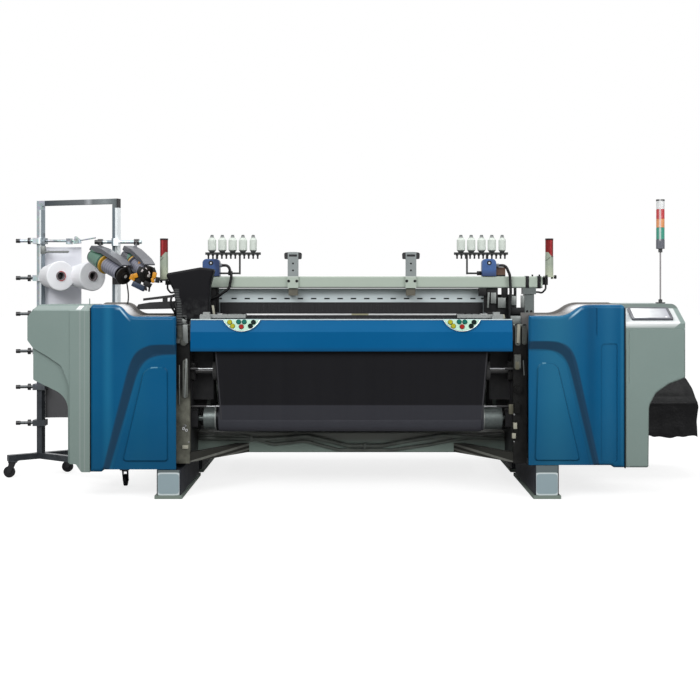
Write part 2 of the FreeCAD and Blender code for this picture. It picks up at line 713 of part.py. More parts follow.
reed_cap = 12.0
reed_half = cloth_half + side_gap + 6
reed_low = sley_top_z - reed_seat
wire_y = reed_y - wire_wide
windows = [Part.Face(w).extrude(V(0, 3 * wire_wide, 0)) for w in
           wire_windows(sley_top_z + 3, reed_top_z - reed_cap, wire_y - wire_wide / 2)]
wall = block(-reed_half, reed_half, wire_y, wire_y + 2 * wire_wide, sley_top_z + 3, reed_top_z - reed_cap)
reed = fused([
    wall.cut(Part.makeCompound(windows)),
    block(-reed_half, reed_half, reed_y - reed_thick / 2, reed_y + reed_thick / 2, reed_low, sley_top_z + 3),
    block(-reed_half, reed_half, reed_y - reed_thick / 2 - 2, reed_y + reed_thick / 2 + 2, reed_top_z - reed_cap, reed_top_z),
])
export("reed", reed)

# ---- heald frames
slot_count = 19
slot_pitch = 1.014 * cloth_half / 10
slot_shift = 13.0
slot_wide = 36.0
slot_high = 9.0
bottom_stave = 70.0
stave_half = cloth_half + side_gap + 17


def heald_frame(y):
    inner = cloth_half + side_gap
    low = heald_low_z + bottom_stave
    high = heald_top_z - stave_high
    holes = [rectangle(-inner, inner, y, low, high)]
    for i in range(slot_count):
        x = (i - (slot_count - 1) / 2) * slot_pitch + slot_shift
        holes.append(rectangle(x - slot_wide / 2, x + slot_wide / 2, y, heald_top_z - 70, heald_top_z - 70 + slot_high))
    face = Part.Face([rectangle(-stave_half, stave_half, y, heald_low_z, heald_top_z)] + holes)
    frame = face.extrude(V(0, heald_thick, 0))
    mid = y + heald_thick / 2 - wire_wide / 2
    wires = Part.Face([rectangle(-inner - 5, inner + 5, mid, low - 8, high + 8)] + wire_windows(low, high, mid))
    lugs = [block(side * stave_half if side > 0 else -lug_x, lug_x if side > 0 else -stave_half,
                  y, y + heald_thick, 965, 1165) for side in (-1, 1)]
    return fused([frame, wires.extrude(V(0, wire_wide, 0))] + lugs)


for i in range(heald_count):
    export("heald_frame_%d" % (i + 1), heald_frame(heald_y + heald_pitch * i))

# ---- warp: strips between the wires, one sheet behind them, round the back rest and down
fell_y = -640.0
comb_y = heald_y + heald_pitch * heald_count + 30
wrap_r = backrest_r + free_gap
comb = [(-cloth_half, backrest_y, 0)]
for i in range(strip_count):
    x0 = -cloth_half + strip_pitch * i
    x1 = x0 + strip_pitch
    left = x0 if i == 0 else x0 + strip_gap / 2
    right = x1 if i == strip_count - 1 else x1 - strip_gap / 2
    if i > 0:
        comb.append((left, comb_y, 0))
    comb.append((left, fell_y, 0))
    comb.append((right, fell_y, 0))
    if i < strip_count - 1:
        comb.append((right, comb_y, 0))
comb.append((cloth_half, backrest_y, 0))
warp_flat = plan_shape(comb, warp_z, cloth_top_z)
centre = V(0, backrest_y, backrest_z)
outer = wrap_r + cloth_thick
lean = math.sqrt(0.5)


def around(r, ky, kz):
    return V(-cloth_half, backrest_y + r * ky, backrest_z + r * kz)


hang_z = beam_z
bend = [
    Part.Arc(around(outer, 0, 1), around(outer, lean, lean), around(outer, 1, 0)).toShape(),
    Part.makeLine(around(outer, 1, 0), V(-cloth_half, backrest_y + outer, hang_z)),
    Part.makeLine(V(-cloth_half, backrest_y + outer, hang_z), V(-cloth_half, backrest_y + wrap_r, hang_z)),
    Part.makeLine(V(-cloth_half, backrest_y + wrap_r, hang_z), around(wrap_r, 1, 0)),
    Part.Arc(around(wrap_r, 1, 0), around(wrap_r, lean, lean), around(wrap_r, 0, 1)).toShape(),
    Part.makeLine(around(wrap_r, 0, 1), around(outer, 0, 1)),
]
warp_bend = Part.Face(Part.Wire(bend)).extrude(V(2 * cloth_half, 0, 0))
export("warp_sheet", fused([warp_flat, warp_bend]))

# ---- cloth: from the fell over the breast beam and down past the take-up roller
cloth_path = [
    (fell_y, warp_z, 0), (breast_y, warp_z, breast_round), (breast_y, breast_low_z - 6, 0), (takeup_y - takeup_r - 1.2, takeup_z, 0),
    (cloth_roll_y - cloth_roll_r - 1.2, cloth_roll_z, 0),
]


def cloth_shape(corners, thick):
    # the outer side of the cloth runs parallel to the inner side
    outer_corners = []
    for i in range(len(corners)):
        u, v, r = corners[i]
        ahead = corners[min(i + 1, len(corners) - 1)]
        behind = corners[max(i - 1, 0)]
        first = V(u - behind[0], v - behind[1], 0)
        second = V(ahead[0] - u, ahead[1] - v, 0)
        if first.Length == 0:
            first = second
        if second.Length == 0:
            second = first
        first.normalize()
        second.normalize()
        mitre = V(first.y + second.y, -first.x - second.x, 0)
        mitre.normalize()
        reach = thick / (mitre.x * second.y - mitre.y * second.x)
        outer_corners.append((u + mitre.x * reach, v + mitre.y * reach, r + thick if r else 0))
    return side_shape(corners + outer_corners[::-1], -cloth_half, cloth_half)


cloth = cloth_shape(cloth_path, cloth_thick)
trim = front_shape([(cloth_half - 40, cloth_roll_z - 20, 0), (cloth_half + 5, cloth_roll_z - 20, 0),
                    (cloth_half + 5, 880, 0), (cloth_half, 880, 0), (cloth_half - 40, cloth_roll_z + 60, 0)],
                   breast_y - 60, fell_y)
cloth = cloth.cut(trim).cut(mirrored(trim))
export("cloth_sheet", cloth)

# ---- upper girder with its stands
gy0 = girder_y
gy1 = girder_y + girder_deep
girder_left = -frame_inner_x - girder_left_over
girder_right = frame_inner_x + girder_right_over
girder = block(girder_left, girder_right, gy0, gy1, girder_low_z, girder_top_z)
girder = softened(girder, [e for e in girder.Edges if abs(e.BoundBox.XLength) > 500], 8)
stand_wide = 60.0
collar_low_z = girder_low_z - 40
stands = []
stand_places = (-frame_inner_x - 95, frame_inner_x + 156)
for x in stand_places:
    stands.append(block(x - stand_wide / 2, x + stand_wide / 2, gy0, gy1, frame_top_z, girder_low_z))
    stands.append(block(x - 51, x + 51, gy0 - 25, gy1 + 40, frame_top_z, frame_top_z + 16))
    stands.append(block(x - 41, x + 41, gy0 - 8, gy1 + 8, collar_low_z, girder_low_z))
export("upper_girder", fused([girder] + stands))


# ---- heald frame guide pillars on the girder
pillar_half = 34.5
pillar_top_z = girder_top_z + 156


def pillar(x):
    ear_low = pillar_top_z - 46
    face = front_shape([(x - pillar_half, girder_low_z, 3), (x - pillar_half, ear_low, 3), (x - 55, ear_low, 8),
                        (x - 57, pillar_top_z - 5, 12), (x - 20, pillar_top_z, 4), (x + 20, pillar_top_z, 4),
                        (x + 57, pillar_top_z - 5, 12), (x + 55, ear_low, 8), (x + pillar_half, ear_low, 3),
                        (x + pillar_half, girder_low_z, 3)], gy0 - 16, gy0)
    rib = block(x - 22, x + 22, gy0, gy0 + 40, girder_top_z, pillar_top_z - 28)
    guide = block(x - 29, x + 29, gy0, gy1, girder_low_z - 48, girder_low_z)
    whole = fused([face, rib, guide])
    for up in (38, 82):
        whole = whole.cut(rod(V(x, gy0 - 17, girder_top_z + up), V(x, gy0 + 41, girder_top_z + up), 6))
    slot = front_shape([(x - 26, ear_low + 16, 4), (x - 26, ear_low + 30, 4), (x + 26, ear_low + 30, 4),
                        (x + 26, ear_low + 16, 4)], gy0 - 17, gy0 - 6)
    return whole.cut(slot)


export("heald_guides", Part.makeCompound([pillar(-0.44 * cloth_half), pillar(0.448 * cloth_half)]))

# ---- selvedge drives: a rounded housing with an eye, a motor behind and a stiff cable
drive_top_z = girder_top_z + 112
left_drive = (-cloth_half - 105, 5 - cloth_half)
right_drive = (cloth_half - 13, cloth_half + 78)
cable_y = gy0 - 22
drive_cable_r = 9.0
gland_y = gy0 + 2
gland_z = girder_top_z + 70


def drive_housing(x0, x1):
    mid = (x0 + x1) / 2
    box = front_shape([(x0, girder_top_z, 4), (x0, drive_top_z, 26), (x1, drive_top_z, 26), (x1, girder_top_z, 4)],
                      gy0 - 10, gy1 - 10)
    box = softened(box, edges_at_y(box, gy0 - 10), 6)
    box = box.cut(rod(V(mid, gy0 - 12, drive_top_z - 26), V(mid, gy1, drive_top_z - 26), 10))
    motor = rod(V(mid, gy1 - 10, girder_top_z + 45), V(mid, gy1 + 75, girder_top_z + 45), 28)
    cap = rod(V(mid, gy1 + 75, girder_top_z + 45), V(mid, gy1 + 88, girder_top_z + 45), 22)
    gland = rod(V(x1 - 2, gland_y, gland_z), V(x1 + 16, gland_y, gland_z), 12)
    return [box, motor, cap, gland]


lx = left_drive[1]
left_cable = tube_along([V(lx + 10, gland_y, gland_z), V(lx + 60, cable_y, gland_z), V(lx + 78, cable_y, girder_top_z),
                         V(lx + 62, cable_y, girder_low_z - 5), V(lx - 20, cable_y, 1206), V(lx - 78, cable_y + 22, 1188),
                         V(lx - 78, heald_y - 20, 1188)], 40, drive_cable_r)
rx = right_drive[1]
right_cable = tube_along([V(rx + 10, gland_y, gland_z), V(rx + 58, cable_y, gland_z), V(rx + 84, cable_y, girder_top_z + 10),
                          V(rx + 90, cable_y, girder_low_z - 20), V(frame_inner_x + 26, cable_y, 1130),
                          V(frame_inner_x + 26, cable_y, frame_top_z)], 40, drive_cable_r)
junction = block(rx, rx + 62, gy0 + 24, gy1 - 10, girder_top_z, girder_top_z + 60)
export("selvedge_drives", Part.makeCompound([fused(drive_housing(*left_drive) + [left_cable]),
                                             fused(drive_housing(*right_drive) + [junction, right_cable])]))

# ---- bobbin racks and their bobbins
rack_y = girder_y + 35
bar_high = 16.0
bobbin_seat_z = rack_z + bar_high
rack_post_r = 6.0
rack_arm_z = girder_top_z + 20
peg_count = 12
# bar ends, first bobbin, post on the housing, hanging post, housing side that holds the arm
left_rack = (-cloth_half - 91, 266 - cloth_half, -cloth_half - 48, -cloth_half - 18, 131 - cloth_half, left_drive[1])
right_rack = (cloth_half - 190, cloth_half + 158, cloth_half - 145, cloth_half + 21, cloth_half - 106, right_drive[0])


def bobbin_rack(x0, x1, first, box_post, far_post, arm_end):
    parts = [block(x0, x1, rack_y - 7, rack_y + 7, rack_z, rack_z + bar_high)]
    parts.append(rod(V(box_post, rack_y, drive_top_z), V(box_post, rack_y, rack_z + 2), rack_post_r))
    parts.append(rod(V(far_post, rack_y, rack_arm_z - 7), V(far_post, rack_y, rack_z + 2), rack_post_r))
    parts.append(rod(V(far_post, rack_y, rack_arm_z), V(arm_end, rack_y, rack_arm_z), rack_post_r))
    for i in range(5):
        x = first + bobbin_pitch * i
        parts.append(rod(V(x, rack_y, bobbin_seat_z - 3), V(x, rack_y, bobbin_seat_z + 100), 6))
    step = (x1 - x0 - 40) / (peg_count - 1)
    for i in range(peg_count):
        x = x0 + 20 + step * i
        parts.append(rod(V(x, rack_y - 2, rack_z + 2), V(x, rack_y - 2, rack_z - 22), 4))
    return fused(parts)


export("bobbin_racks", Part.makeCompound([bobbin_rack(*left_rack), bobbin_rack(*right_rack)]))


def bobbin(x, r):
    z = bobbin_seat_z
    foot_part = taper(V(x, rack_y, z), V(x, rack_y, z + 8), r * 0.6, r * 0.8)
    lower = taper(V(x, rack_y, z + 8), V(x, rack_y, z + 16), r * 0.83, r)
    body = rod(V(x, rack_y, z + 16), V(x, rack_y, z + 78), r)
    shoulder = taper(V(x, rack_y, z + 78), V(x, rack_y, z + 94), r, r * 0.62)
    nub = taper(V(x, rack_y, z + 94), V(x, rack_y, z + 112), 14, 9)
    whole = fused([foot_part, lower, body, shoulder, nub])
    return whole.cut(rod(V(x, rack_y, z - 1), V(x, rack_y, z + 101), 6))


bobbins = [bobbin(rack[2] + bobbin_pitch * i, bobbin_r if i < 4 else 0.86 * bobbin_r)
           for rack in (left_rack, right_rack) for i in range(5)]
export("bobbins", Part.makeCompound(bobbins))

# ---- signal lamps on brackets at the girder's ends, with a cable from each
lamp_y = gy0 - 35
lamp_cable_y = gy0 + 5
lamp_cable_r = 6.0
lens_low_z = girder_top_z + 128
lens_top_z = lens_low_z + 103


def signal_lamp(x, low, girder_end, collar_x):
    side = math.copysign(1, girder_end)
    plate = block(x - 27, x + 27, lamp_y - 27, gy0 + 44, low - 8, low)
    span = sorted((girder_end, x))
    arm = block(span[0], span[1], gy0 + 14, gy0 + 44, girder_low_z + 20, low - 8)
    body = rod(V(x, lamp_y, low), V(x, lamp_y, lens_low_z), 26)
    lens = rod(V(x, lamp_y, lens_low_z), V(x, lamp_y, lens_top_z), 25)
    cap = rod(V(x, lamp_y, lens_top_z), V(x, lamp_y, lens_top_z + 10), 26)
    parts = [plate, arm, body, lens, cap]
    for step in (-18, 18):
        parts.append(rod(V(x + step, lamp_y, low - 20), V(x + step, lamp_y, low - 8), 8))
    out = x - side * 16
    parts.append(tube_along([V(out, lamp_cable_y, low - 4), V(out, lamp_cable_y, collar_low_z + 34),
                             V((out + collar_x) / 2 + side * 8, lamp_cable_y, collar_low_z + 8),
                             V(collar_x + side * 16, lamp_cable_y, collar_low_z + 14),
                             V(collar_x, lamp_cable_y, collar_low_z + 14)], 24, lamp_cable_r))
    return fused(parts)


export("signal_lamps", Part.makeCompound([
    signal_lamp(girder_left - 46, girder_top_z - 21, girder_left, stand_places[0] - 41),
    signal_lamp(girder_right + 37, girder_top_z + 3, girder_right, stand_places[1] + 41)]))

# ---- tower light on the right end cover
tower_x = right_end_x - 60
tower_y = cover_back_y
tower_base_z = cover_top_z + 2
tower_steps = [
    (0, 8, 30), (8, 26, 12), (26, 322, 5), (322, 344, 13), (344, 402, 27), (402, 405, 24.5), (405, 475, 26), (475, 478, 24.5),
    (478, 530, 26), (530, 533, 24.5), (533, 591, 26), (591, 594, 24.5), (594, 645, 26), (645, 655, 27),
]
tower = fused([rod(V(tower_x, tower_y, tower_base_z + a), V(tower_x, tower_y, tower_base_z + b), r)
               for a, b, r in tower_steps])
export("tower_light", tower)

# ---- weft selector under its funnel-shaped cover
selector_y = -690.0
selector_deep = 88.0


def from_cloth(corners):
    # corners measured outwards from the left edge of the cloth
    return [(-cloth_half - d, z, r) for d, z, r in corners]


funnel = front_shape(from_cloth([(311, 1358, 18), (92, 1397, 30), (4, 1386, 14), (32, 1283, 60), (42, 1067, 10),
                                 (167, 1067, 10), (254, 1111, 25), (248, 1227, 40)]),
                     selector_y, selector_y + selector_deep)
funnel = softened(funnel, edges_at_y(funnel, selector_y), 14)
post = block(-cloth_half - 206, -cloth_half - 150, selector_y + 20, selector_y + 80, frame_top_z, 1085)
upper_arm = front_shape(from_cloth([(451, 1188, 0), (451, 1203, 0), (240, 1229, 0), (240, 1212, 0)]),
                        selector_y + 24, selector_y + 44)
lower_arm = front_shape(from_cloth([(489, 1148, 4), (480, 1166, 6), (409, 1178, 10), (240, 1187, 0), (240, 1139, 0),
                                    (480, 1134, 6)]), selector_y + 14, selector_y + 56)
arm_web = block(-cloth_half - 330, -cloth_half - 300, selector_y + 26, selector_y + 42, 1170, 1212)
selector = fused([funnel, post, upper_arm, lower_arm, arm_web])
export("weft_selector", selector)

# ---- shedding unit under its dust cover, at the right rear
unit_x = frame_outer_x + right_gear_wide + lid_thick
unit_front_y = -190.0
unit_back_y = 450.0
unit_right_x = unit_x + 738
unit = front_shape([(unit_x, 300, 0), (unit_x, 745, 0), (unit_x + 490, 760, 60), (unit_right_x - 92, 702, 70),
                    (unit_right_x - 24, 560, 120), (unit_right_x, 500, 60), (unit_right_x - 9, 400, 50),
                    (unit_right_x, 275, 25), (unit_x + 616, 262, 30), (unit_x + 496, 275, 50), (unit_x + 376, 262, 50),
                    (unit_x + 216, 276, 40),
                    (unit_x + 80, 266, 20)], unit_front_y, unit_back_y)
unit = softened(unit, edges_at_y(unit, unit_front_y) + edges_at_y(unit, unit_back_y), 24)
export("shedding_unit", unit)


# ---- yarn creel
def leg_bar(start, end, wide, z0, high):
    # a square tube laid level between two plan points
    run = end - start
    bar = Part.makeBox(run.Length, wide, high, V(0, -wide / 2, 0))
    bar.rotate(V(0, 0, 0), V(0, 0, 1), math.degrees(math.atan2(run.y, run.x)))
    bar.translate(V(start.x, start.y, z0))
    return bar


def beyond(start, end, extra):
    run = end - start
    run.normalize()
    return end + run * extra


bar_z = castor_bar_z
base_high = 40.0
front_right_castor = creel_left + V(658, -455, 0)
front_left_castor = creel_left + V(-157, -106, 0)
back_castor = creel_left + V(175, 130, 0)
posts_run = creel_right - creel_left
turn_angle = math.degrees(math.atan2(posts_run.y, posts_run.x))


def upright(place, z0, z1, size):
    post_box = block(-size / 2, size / 2, -size / 2, size / 2, z0, z1)
    post_box.rotate(V(0, 0, 0), V(0, 0, 1), turn_angle)
    post_box.translate(V(place.x, place.y, 0))
    return post_box


base_top = bar_z + base_high
creel_parts = [
    leg_bar(beyond(front_right_castor, creel_left, 40), beyond(creel_left, front_right_castor, 36), 40, bar_z, base_high),
    leg_bar(beyond(back_castor, front_left_castor, 36), beyond(front_left_castor, back_castor, 36), 40, bar_z, base_high),
    leg_bar(creel_right, creel_left + V(599, -414, 0), 40, bar_z, base_high),
    upright(creel_left, base_top - 4, creel_top_z, creel_post),
    upright(creel_right, bar_z, creel_top_z, creel_post),
    leg_bar(creel_left, creel_right, 34, creel_top_z - 34, 34),
]
peg_levels = [1585.0, 1334.0, 1092.0, 840.0, 598.0, 355.0]
for z in peg_levels:
    x, y = creel_left.x, creel_left.y
    creel_parts.append(block(x - 46, x + 36, y - 42, y + 42, z - 20, z + 20))
    creel_parts.append(rod(V(x - 44, y - 10, z), V(x - 156, y - 24, z), 10))
    creel_parts.append(rod(V(x - 84, y - 15, z), V(x - 66, y - 13, z), 22))
    creel_parts.append(rod(V(x - 134, y - 21, z), V(x - 162, y - 25, z), 14))
top_arm_z = peg_levels[0]
arm_end = creel_left + V(255, -20, top_arm_z)
creel_parts.append(rod(creel_left + V(0, -20, top_arm_z), arm_end, 9))
creel_parts.append(block(arm_end.x - 76, arm_end.x - 40, arm_end.y - 20, arm_end.y + 20, top_arm_z - 22, top_arm_z + 16))
creel_parts.append(front_shape([(arm_end.x - 30, top_arm_z - 20, 4), (arm_end.x - 18, top_arm_z + 36, 6),
                                (arm_end.x + 16, top_arm_z + 10, 6), (arm_end.x + 22, top_arm_z - 16, 4)],
                               arm_end.y - 14, arm_end.y + 14))
creel_parts.append(rod(arm_end, arm_end + V(128, -36, 20), 5))

# two yarn cones stand on pegs from the second level
cone_z = 1346.0
cone_long = 200.0
cone_big_r = 100.0
cone_small_r = 74.0
cone_bore_r = 25.0
cone_peg_r = 15.0
cone_turns = [math.radians(37), math.radians(44)]
cone_faces = [creel_left + V(183, -192, cone_z), creel_left + V(394, -192, cone_z)]
cones = []
rail_y = creel_left.y + 28
for face_point, cone_turn in zip(cone_faces, cone_turns):
    cone_back = V(-math.sin(cone_turn), math.cos(cone_turn), 0)
    tail = face_point + cone_back * cone_long
    body = taper(face_point, tail, cone_big_r, cone_small_r)
    body = softened(body, [e for e in body.Edges if e.Length > 2 * math.pi * cone_small_r - 1], 8)
    tube = ring(face_point - cone_back * 6, tail + cone_back * 4, cone_bore_r + 8, cone_bore_r)
    whole = fused([body.cut(rod(face_point - cone_back, tail + cone_back, cone_bore_r + 4)), tube])
    cones.append(whole)
    peg_end = tail + cone_back * ((rail_y - tail.y) / cone_back.y)
    creel_parts.append(rod(face_point + cone_back * 30, peg_end, cone_peg_r))
    for step in (40, cone_long - 24):
        creel_parts.append(rod(face_point + cone_back * step, face_point + cone_back * (step + 14), cone_bore_r))
rail_end = cone_faces[1] + cone_back * ((rail_y - cone_faces[1].y) / cone_back.y)
creel_parts.append(rod(V(creel_left.x, rail_y, cone_z), V(rail_end.x + 24, rail_y, cone_z), 8))

# cross tube on the right post, which carries the feeders
tube_z = 1568.0
tube_y = creel_right.y - 52
tube_r = 11.5
tube_left = creel_right + V(-117, -52, tube_z)
tube_right = creel_right + V(176, -52, tube_z)
creel_parts.append(rod(tube_left, tube_right, tube_r))
creel_parts.append(block(creel_right.x - 18, creel_right.x + 26, tube_y - 20, creel_right.y, tube_z - 24, tube_z + 24))
creel_parts.append(rod(tube_left + V(-14, 0, 0), tube_left + V(6, 0, 0), tube_r + 3))
creel = fused(creel_parts)

# the castors turn under plates at the ends of the base bars
castor_places = {"front_left": front_left_castor, "front_right": front_right_castor, "back": back_castor}
stem_r = 9.0
stem_long = 26.0
for place in castor_places.values():
    plate = block(place.x - 28, place.x + 28, place.y - 28, place.y + 28, bar_z - 6, bar_z)
    creel = creel.fuse(plate)
for place in castor_places.values():
    creel = creel.cut(rod(place + V(0, 0, bar_z - 8), place + V(0, 0, bar_z - 6 + stem_long + 2), stem_r + run_fit))
creel = creel.removeSplitter()
export("creel_frame", creel)
export("yarn_cones", Part.makeCompound(cones))

fork_top = bar_z - 6 - free_gap
axle_r = 5.0
castor_swivels = {"front_left": 180.0, "front_right": 90.0, "back": 180.0}


def swivelled(shape, place, degrees):
    return turned(shape, place, V(0, 0, 1), degrees)


for name, place in castor_places.items():
    wheel_at = place + V(castor_trail, 0, castor_wheel_r)
    gap = castor_wheel_wide / 2 + 2
    crown = block(place.x - 22, place.x + 30, place.y - gap - 4, place.y + gap + 4, fork_top - 8, fork_top)
    cheeks = []
    for side in (-1, 1):
        y0 = place.y + (gap if side > 0 else -gap - 4)
        corners = [(place.x - 16, fork_top - 4, 0), (place.x + 26, fork_top - 4, 0), (wheel_at.x + 12, castor_wheel_r, 8),
                   (wheel_at.x + 4, castor_wheel_r - 12, 8), (wheel_at.x - 12, castor_wheel_r - 6, 6)]
        cheeks.append(front_shape(corners, y0, y0 + 4))
    stem = rod(place + V(0, 0, fork_top - 4), place + V(0, 0, bar_z - 6 + stem_long), stem_r)
    axle = rod(wheel_at + V(0, -gap - 6, 0), wheel_at + V(0, gap + 6, 0), axle_r)
    fork = fused([crown, stem, axle] + cheeks)
    export("castor_fork_" + name, swivelled(fork, place, castor_swivels[name]))
    tread = rod(wheel_at + V(0, -castor_wheel_wide / 2, 0), wheel_at + V(0, castor_wheel_wide / 2, 0), castor_wheel_r)
    tread = softened(tread, [e for e in tread.Edges if e.Length > 200], 4)
    bore = rod(wheel_at + V(0, -30, 0), wheel_at + V(0, 30, 0), axle_r + run_fit)
    wheel = tread.cut(bore)
    export("castor_wheel_" + name, swivelled(wheel, place, castor_swivels[name]))

# ---- balloon separator: a tall, lightly curved white panel behind the cones
sheet_x0 = creel_left.x + 17
sheet_x1 = creel_left.x + 263
sheet_low_z = 382.0
sheet_top_z = 1545.0
sheet_thick = 4.0
face_y = creel_left.y + 46
bow_y = face_y + 16
panel_edges = [
    Part.Arc(V(sheet_x0, face_y, sheet_low_z), V((sheet_x0 + sheet_x1) / 2, bow_y, sheet_low_z),
             V(sheet_x1, face_y, sheet_low_z)).toShape(),
    Part.makeLine(V(sheet_x1, face_y, sheet_low_z), V(sheet_x1, face_y + sheet_thick, sheet_low_z)),
    Part.Arc(V(sheet_x1, face_y + sheet_thick, sheet_low_z),
             V((sheet_x0 + sheet_x1) / 2, bow_y + sheet_thick, sheet_low_z),
             V(sheet_x0, face_y + sheet_thick, sheet_low_z)).toShape(),
    Part.makeLine(V(sheet_x0, face_y + sheet_thick, sheet_low_z), V(sheet_x0, face_y, sheet_low_z)),
]
separator = Part.Face(Part.Wire(panel_edges)).extrude(V(0, 0, sheet_top_z - sheet_low_z))
hangers = []
for z in (peg_levels[1], peg_levels[2], peg_levels[3], peg_levels[4]):
    hangers.append(block(sheet_x0 + 2, creel_left.x + 36, face_y - 4, face_y + sheet_thick, z - 10, z + 10))
export("yarn_separator", fused([separator] + hangers))

# ---- weft feeders clamped to the cross tube
feeder_rear = [creel_left + V(405, -278, 1483), creel_left + V(633, -296, 1482)]
feeder_front = [creel_left + V(677, -558, 1343), creel_left + V(831, -600, 1348)]


def feeder(rear, front, clamp_x):
    # built along Z with the housing over +Y: plug, motor, ring, drum, and the shell above them
    long = (front - rear).Length
    r = feeder_r
    shell = side_shape([(r * 0.7, 14, 4), (r * 1.3, 34, 18), (r * 1.55, 150, 60), (r * 1.48, long - 60, 40),
                        (r * 1.22, long + 4, 5), (r * 1.06, long - 8, 0), (r * 1.06, 150, 0), (r * 0.7, 60, 0)],
                       -r * 0.62, r * 0.62)
    parts = [
        taper(V(0, 0, -8), V(0, 0, 24), r * 0.42, r * 0.6),
        taper(V(0, 0, 24), V(0, 0, 160), r * 0.8, r * 0.98),
        rod(V(0, 0, 160), V(0, 0, 178), r * 0.9),
        rod(V(0, 0, 178), V(0, 0, 196), r * 1.06),
        taper(V(0, 0, 204), V(0, 0, long - 44), r * 0.86, r * 0.8),
        rod(V(0, 0, 190), V(0, 0, 216), r * 0.5),
        rod(V(0, 0, long - 44), V(0, 0, long - 14), r * 0.3),
        shell,
    ]
    whole = fused(parts)
    spin = FreeCAD.Rotation(V(0, 0, 1), front - rear)
    up = spin.multVec(V(0, 1, 0))
    placed = aimed(whole, rear, front)
    # the housing is turned about the axis until it is on top
    axis = (front - rear).normalize()
    best = V(0, 0, 1) - axis * axis.z
    swing = math.degrees(up.getAngle(best))
    if up.cross(best).dot(axis) < 0:
        swing = -swing
    placed.rotate(rear, axis, swing)
    grip = V(clamp_x, tube_y, tube_z)
    collar = ring(grip - V(16, 0, 0), grip + V(16, 0, 0), tube_r + 9, tube_r)
    share = (clamp_x - rear.x) / (front.x - rear.x)
    share = min(max(share, 0.16), 0.5)
    landing = rear + (front - rear) * share + best.normalize() * r
    stem = rod(landing, grip + (landing - grip).normalize() * (tube_r + 4), 9)
    return fused([placed, stem, collar])


clamp_places = [creel_left.x + 459, creel_left.x + 697]
feeders = [feeder(feeder_rear[i], feeder_front[i], clamp_places[i]) for i in range(2)]
disc_long = 12.0
spindle_r = 8.0
bodies = []
for i in range(2):
    axis = (feeder_front[i] - feeder_rear[i]).normalize()
    nose = feeder_front[i] - axis * 14
    bodies.append(feeders[i].fuse(rod(nose - axis * 2, nose + axis * 13, spindle_r)).removeSplitter())
    disc = rod(nose + axis * free_gap, nose + axis * (free_gap + disc_long), feeder_r * 0.98)
    disc = softened(disc, [e for e in disc.Edges if e.Length > 300], 3)
    boss = rod(nose + axis * disc_long, nose + axis * (disc_long + 12), feeder_r * 0.4)
    disc = disc.fuse(boss).removeSplitter().cut(rod(nose, nose + axis * 13.5, spindle_r + run_fit))
    export("feeder_disc_%d" % (i + 1), disc)
    print("feeder disc", i + 1, "axis", tuple(round(a, 6) for a in axis), "at", tuple(round(a, 3) for a in nose))
export("weft_feeders", Part.makeCompound(bodies))

print("button axis tilt", panel_tilt, "screen slope", console_slope)
print("back rest", backrest_y, backrest_z)
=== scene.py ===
import bpy
import bmesh
import math
import random
from mathutils import Matrix, Vector, noise


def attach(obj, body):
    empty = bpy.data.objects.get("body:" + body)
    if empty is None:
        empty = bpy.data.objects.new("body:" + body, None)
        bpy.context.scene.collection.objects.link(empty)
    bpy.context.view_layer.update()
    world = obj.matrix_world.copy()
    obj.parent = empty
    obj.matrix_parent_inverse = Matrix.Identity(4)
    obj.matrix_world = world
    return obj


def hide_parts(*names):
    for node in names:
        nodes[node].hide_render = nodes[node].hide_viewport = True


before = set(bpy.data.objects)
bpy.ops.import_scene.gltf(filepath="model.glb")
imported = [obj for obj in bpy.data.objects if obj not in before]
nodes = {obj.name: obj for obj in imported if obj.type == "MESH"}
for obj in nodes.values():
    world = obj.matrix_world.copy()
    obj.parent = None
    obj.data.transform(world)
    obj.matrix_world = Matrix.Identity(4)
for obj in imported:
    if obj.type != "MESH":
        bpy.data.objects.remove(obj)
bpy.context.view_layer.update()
print("frame loaded", len(nodes), "nodes")


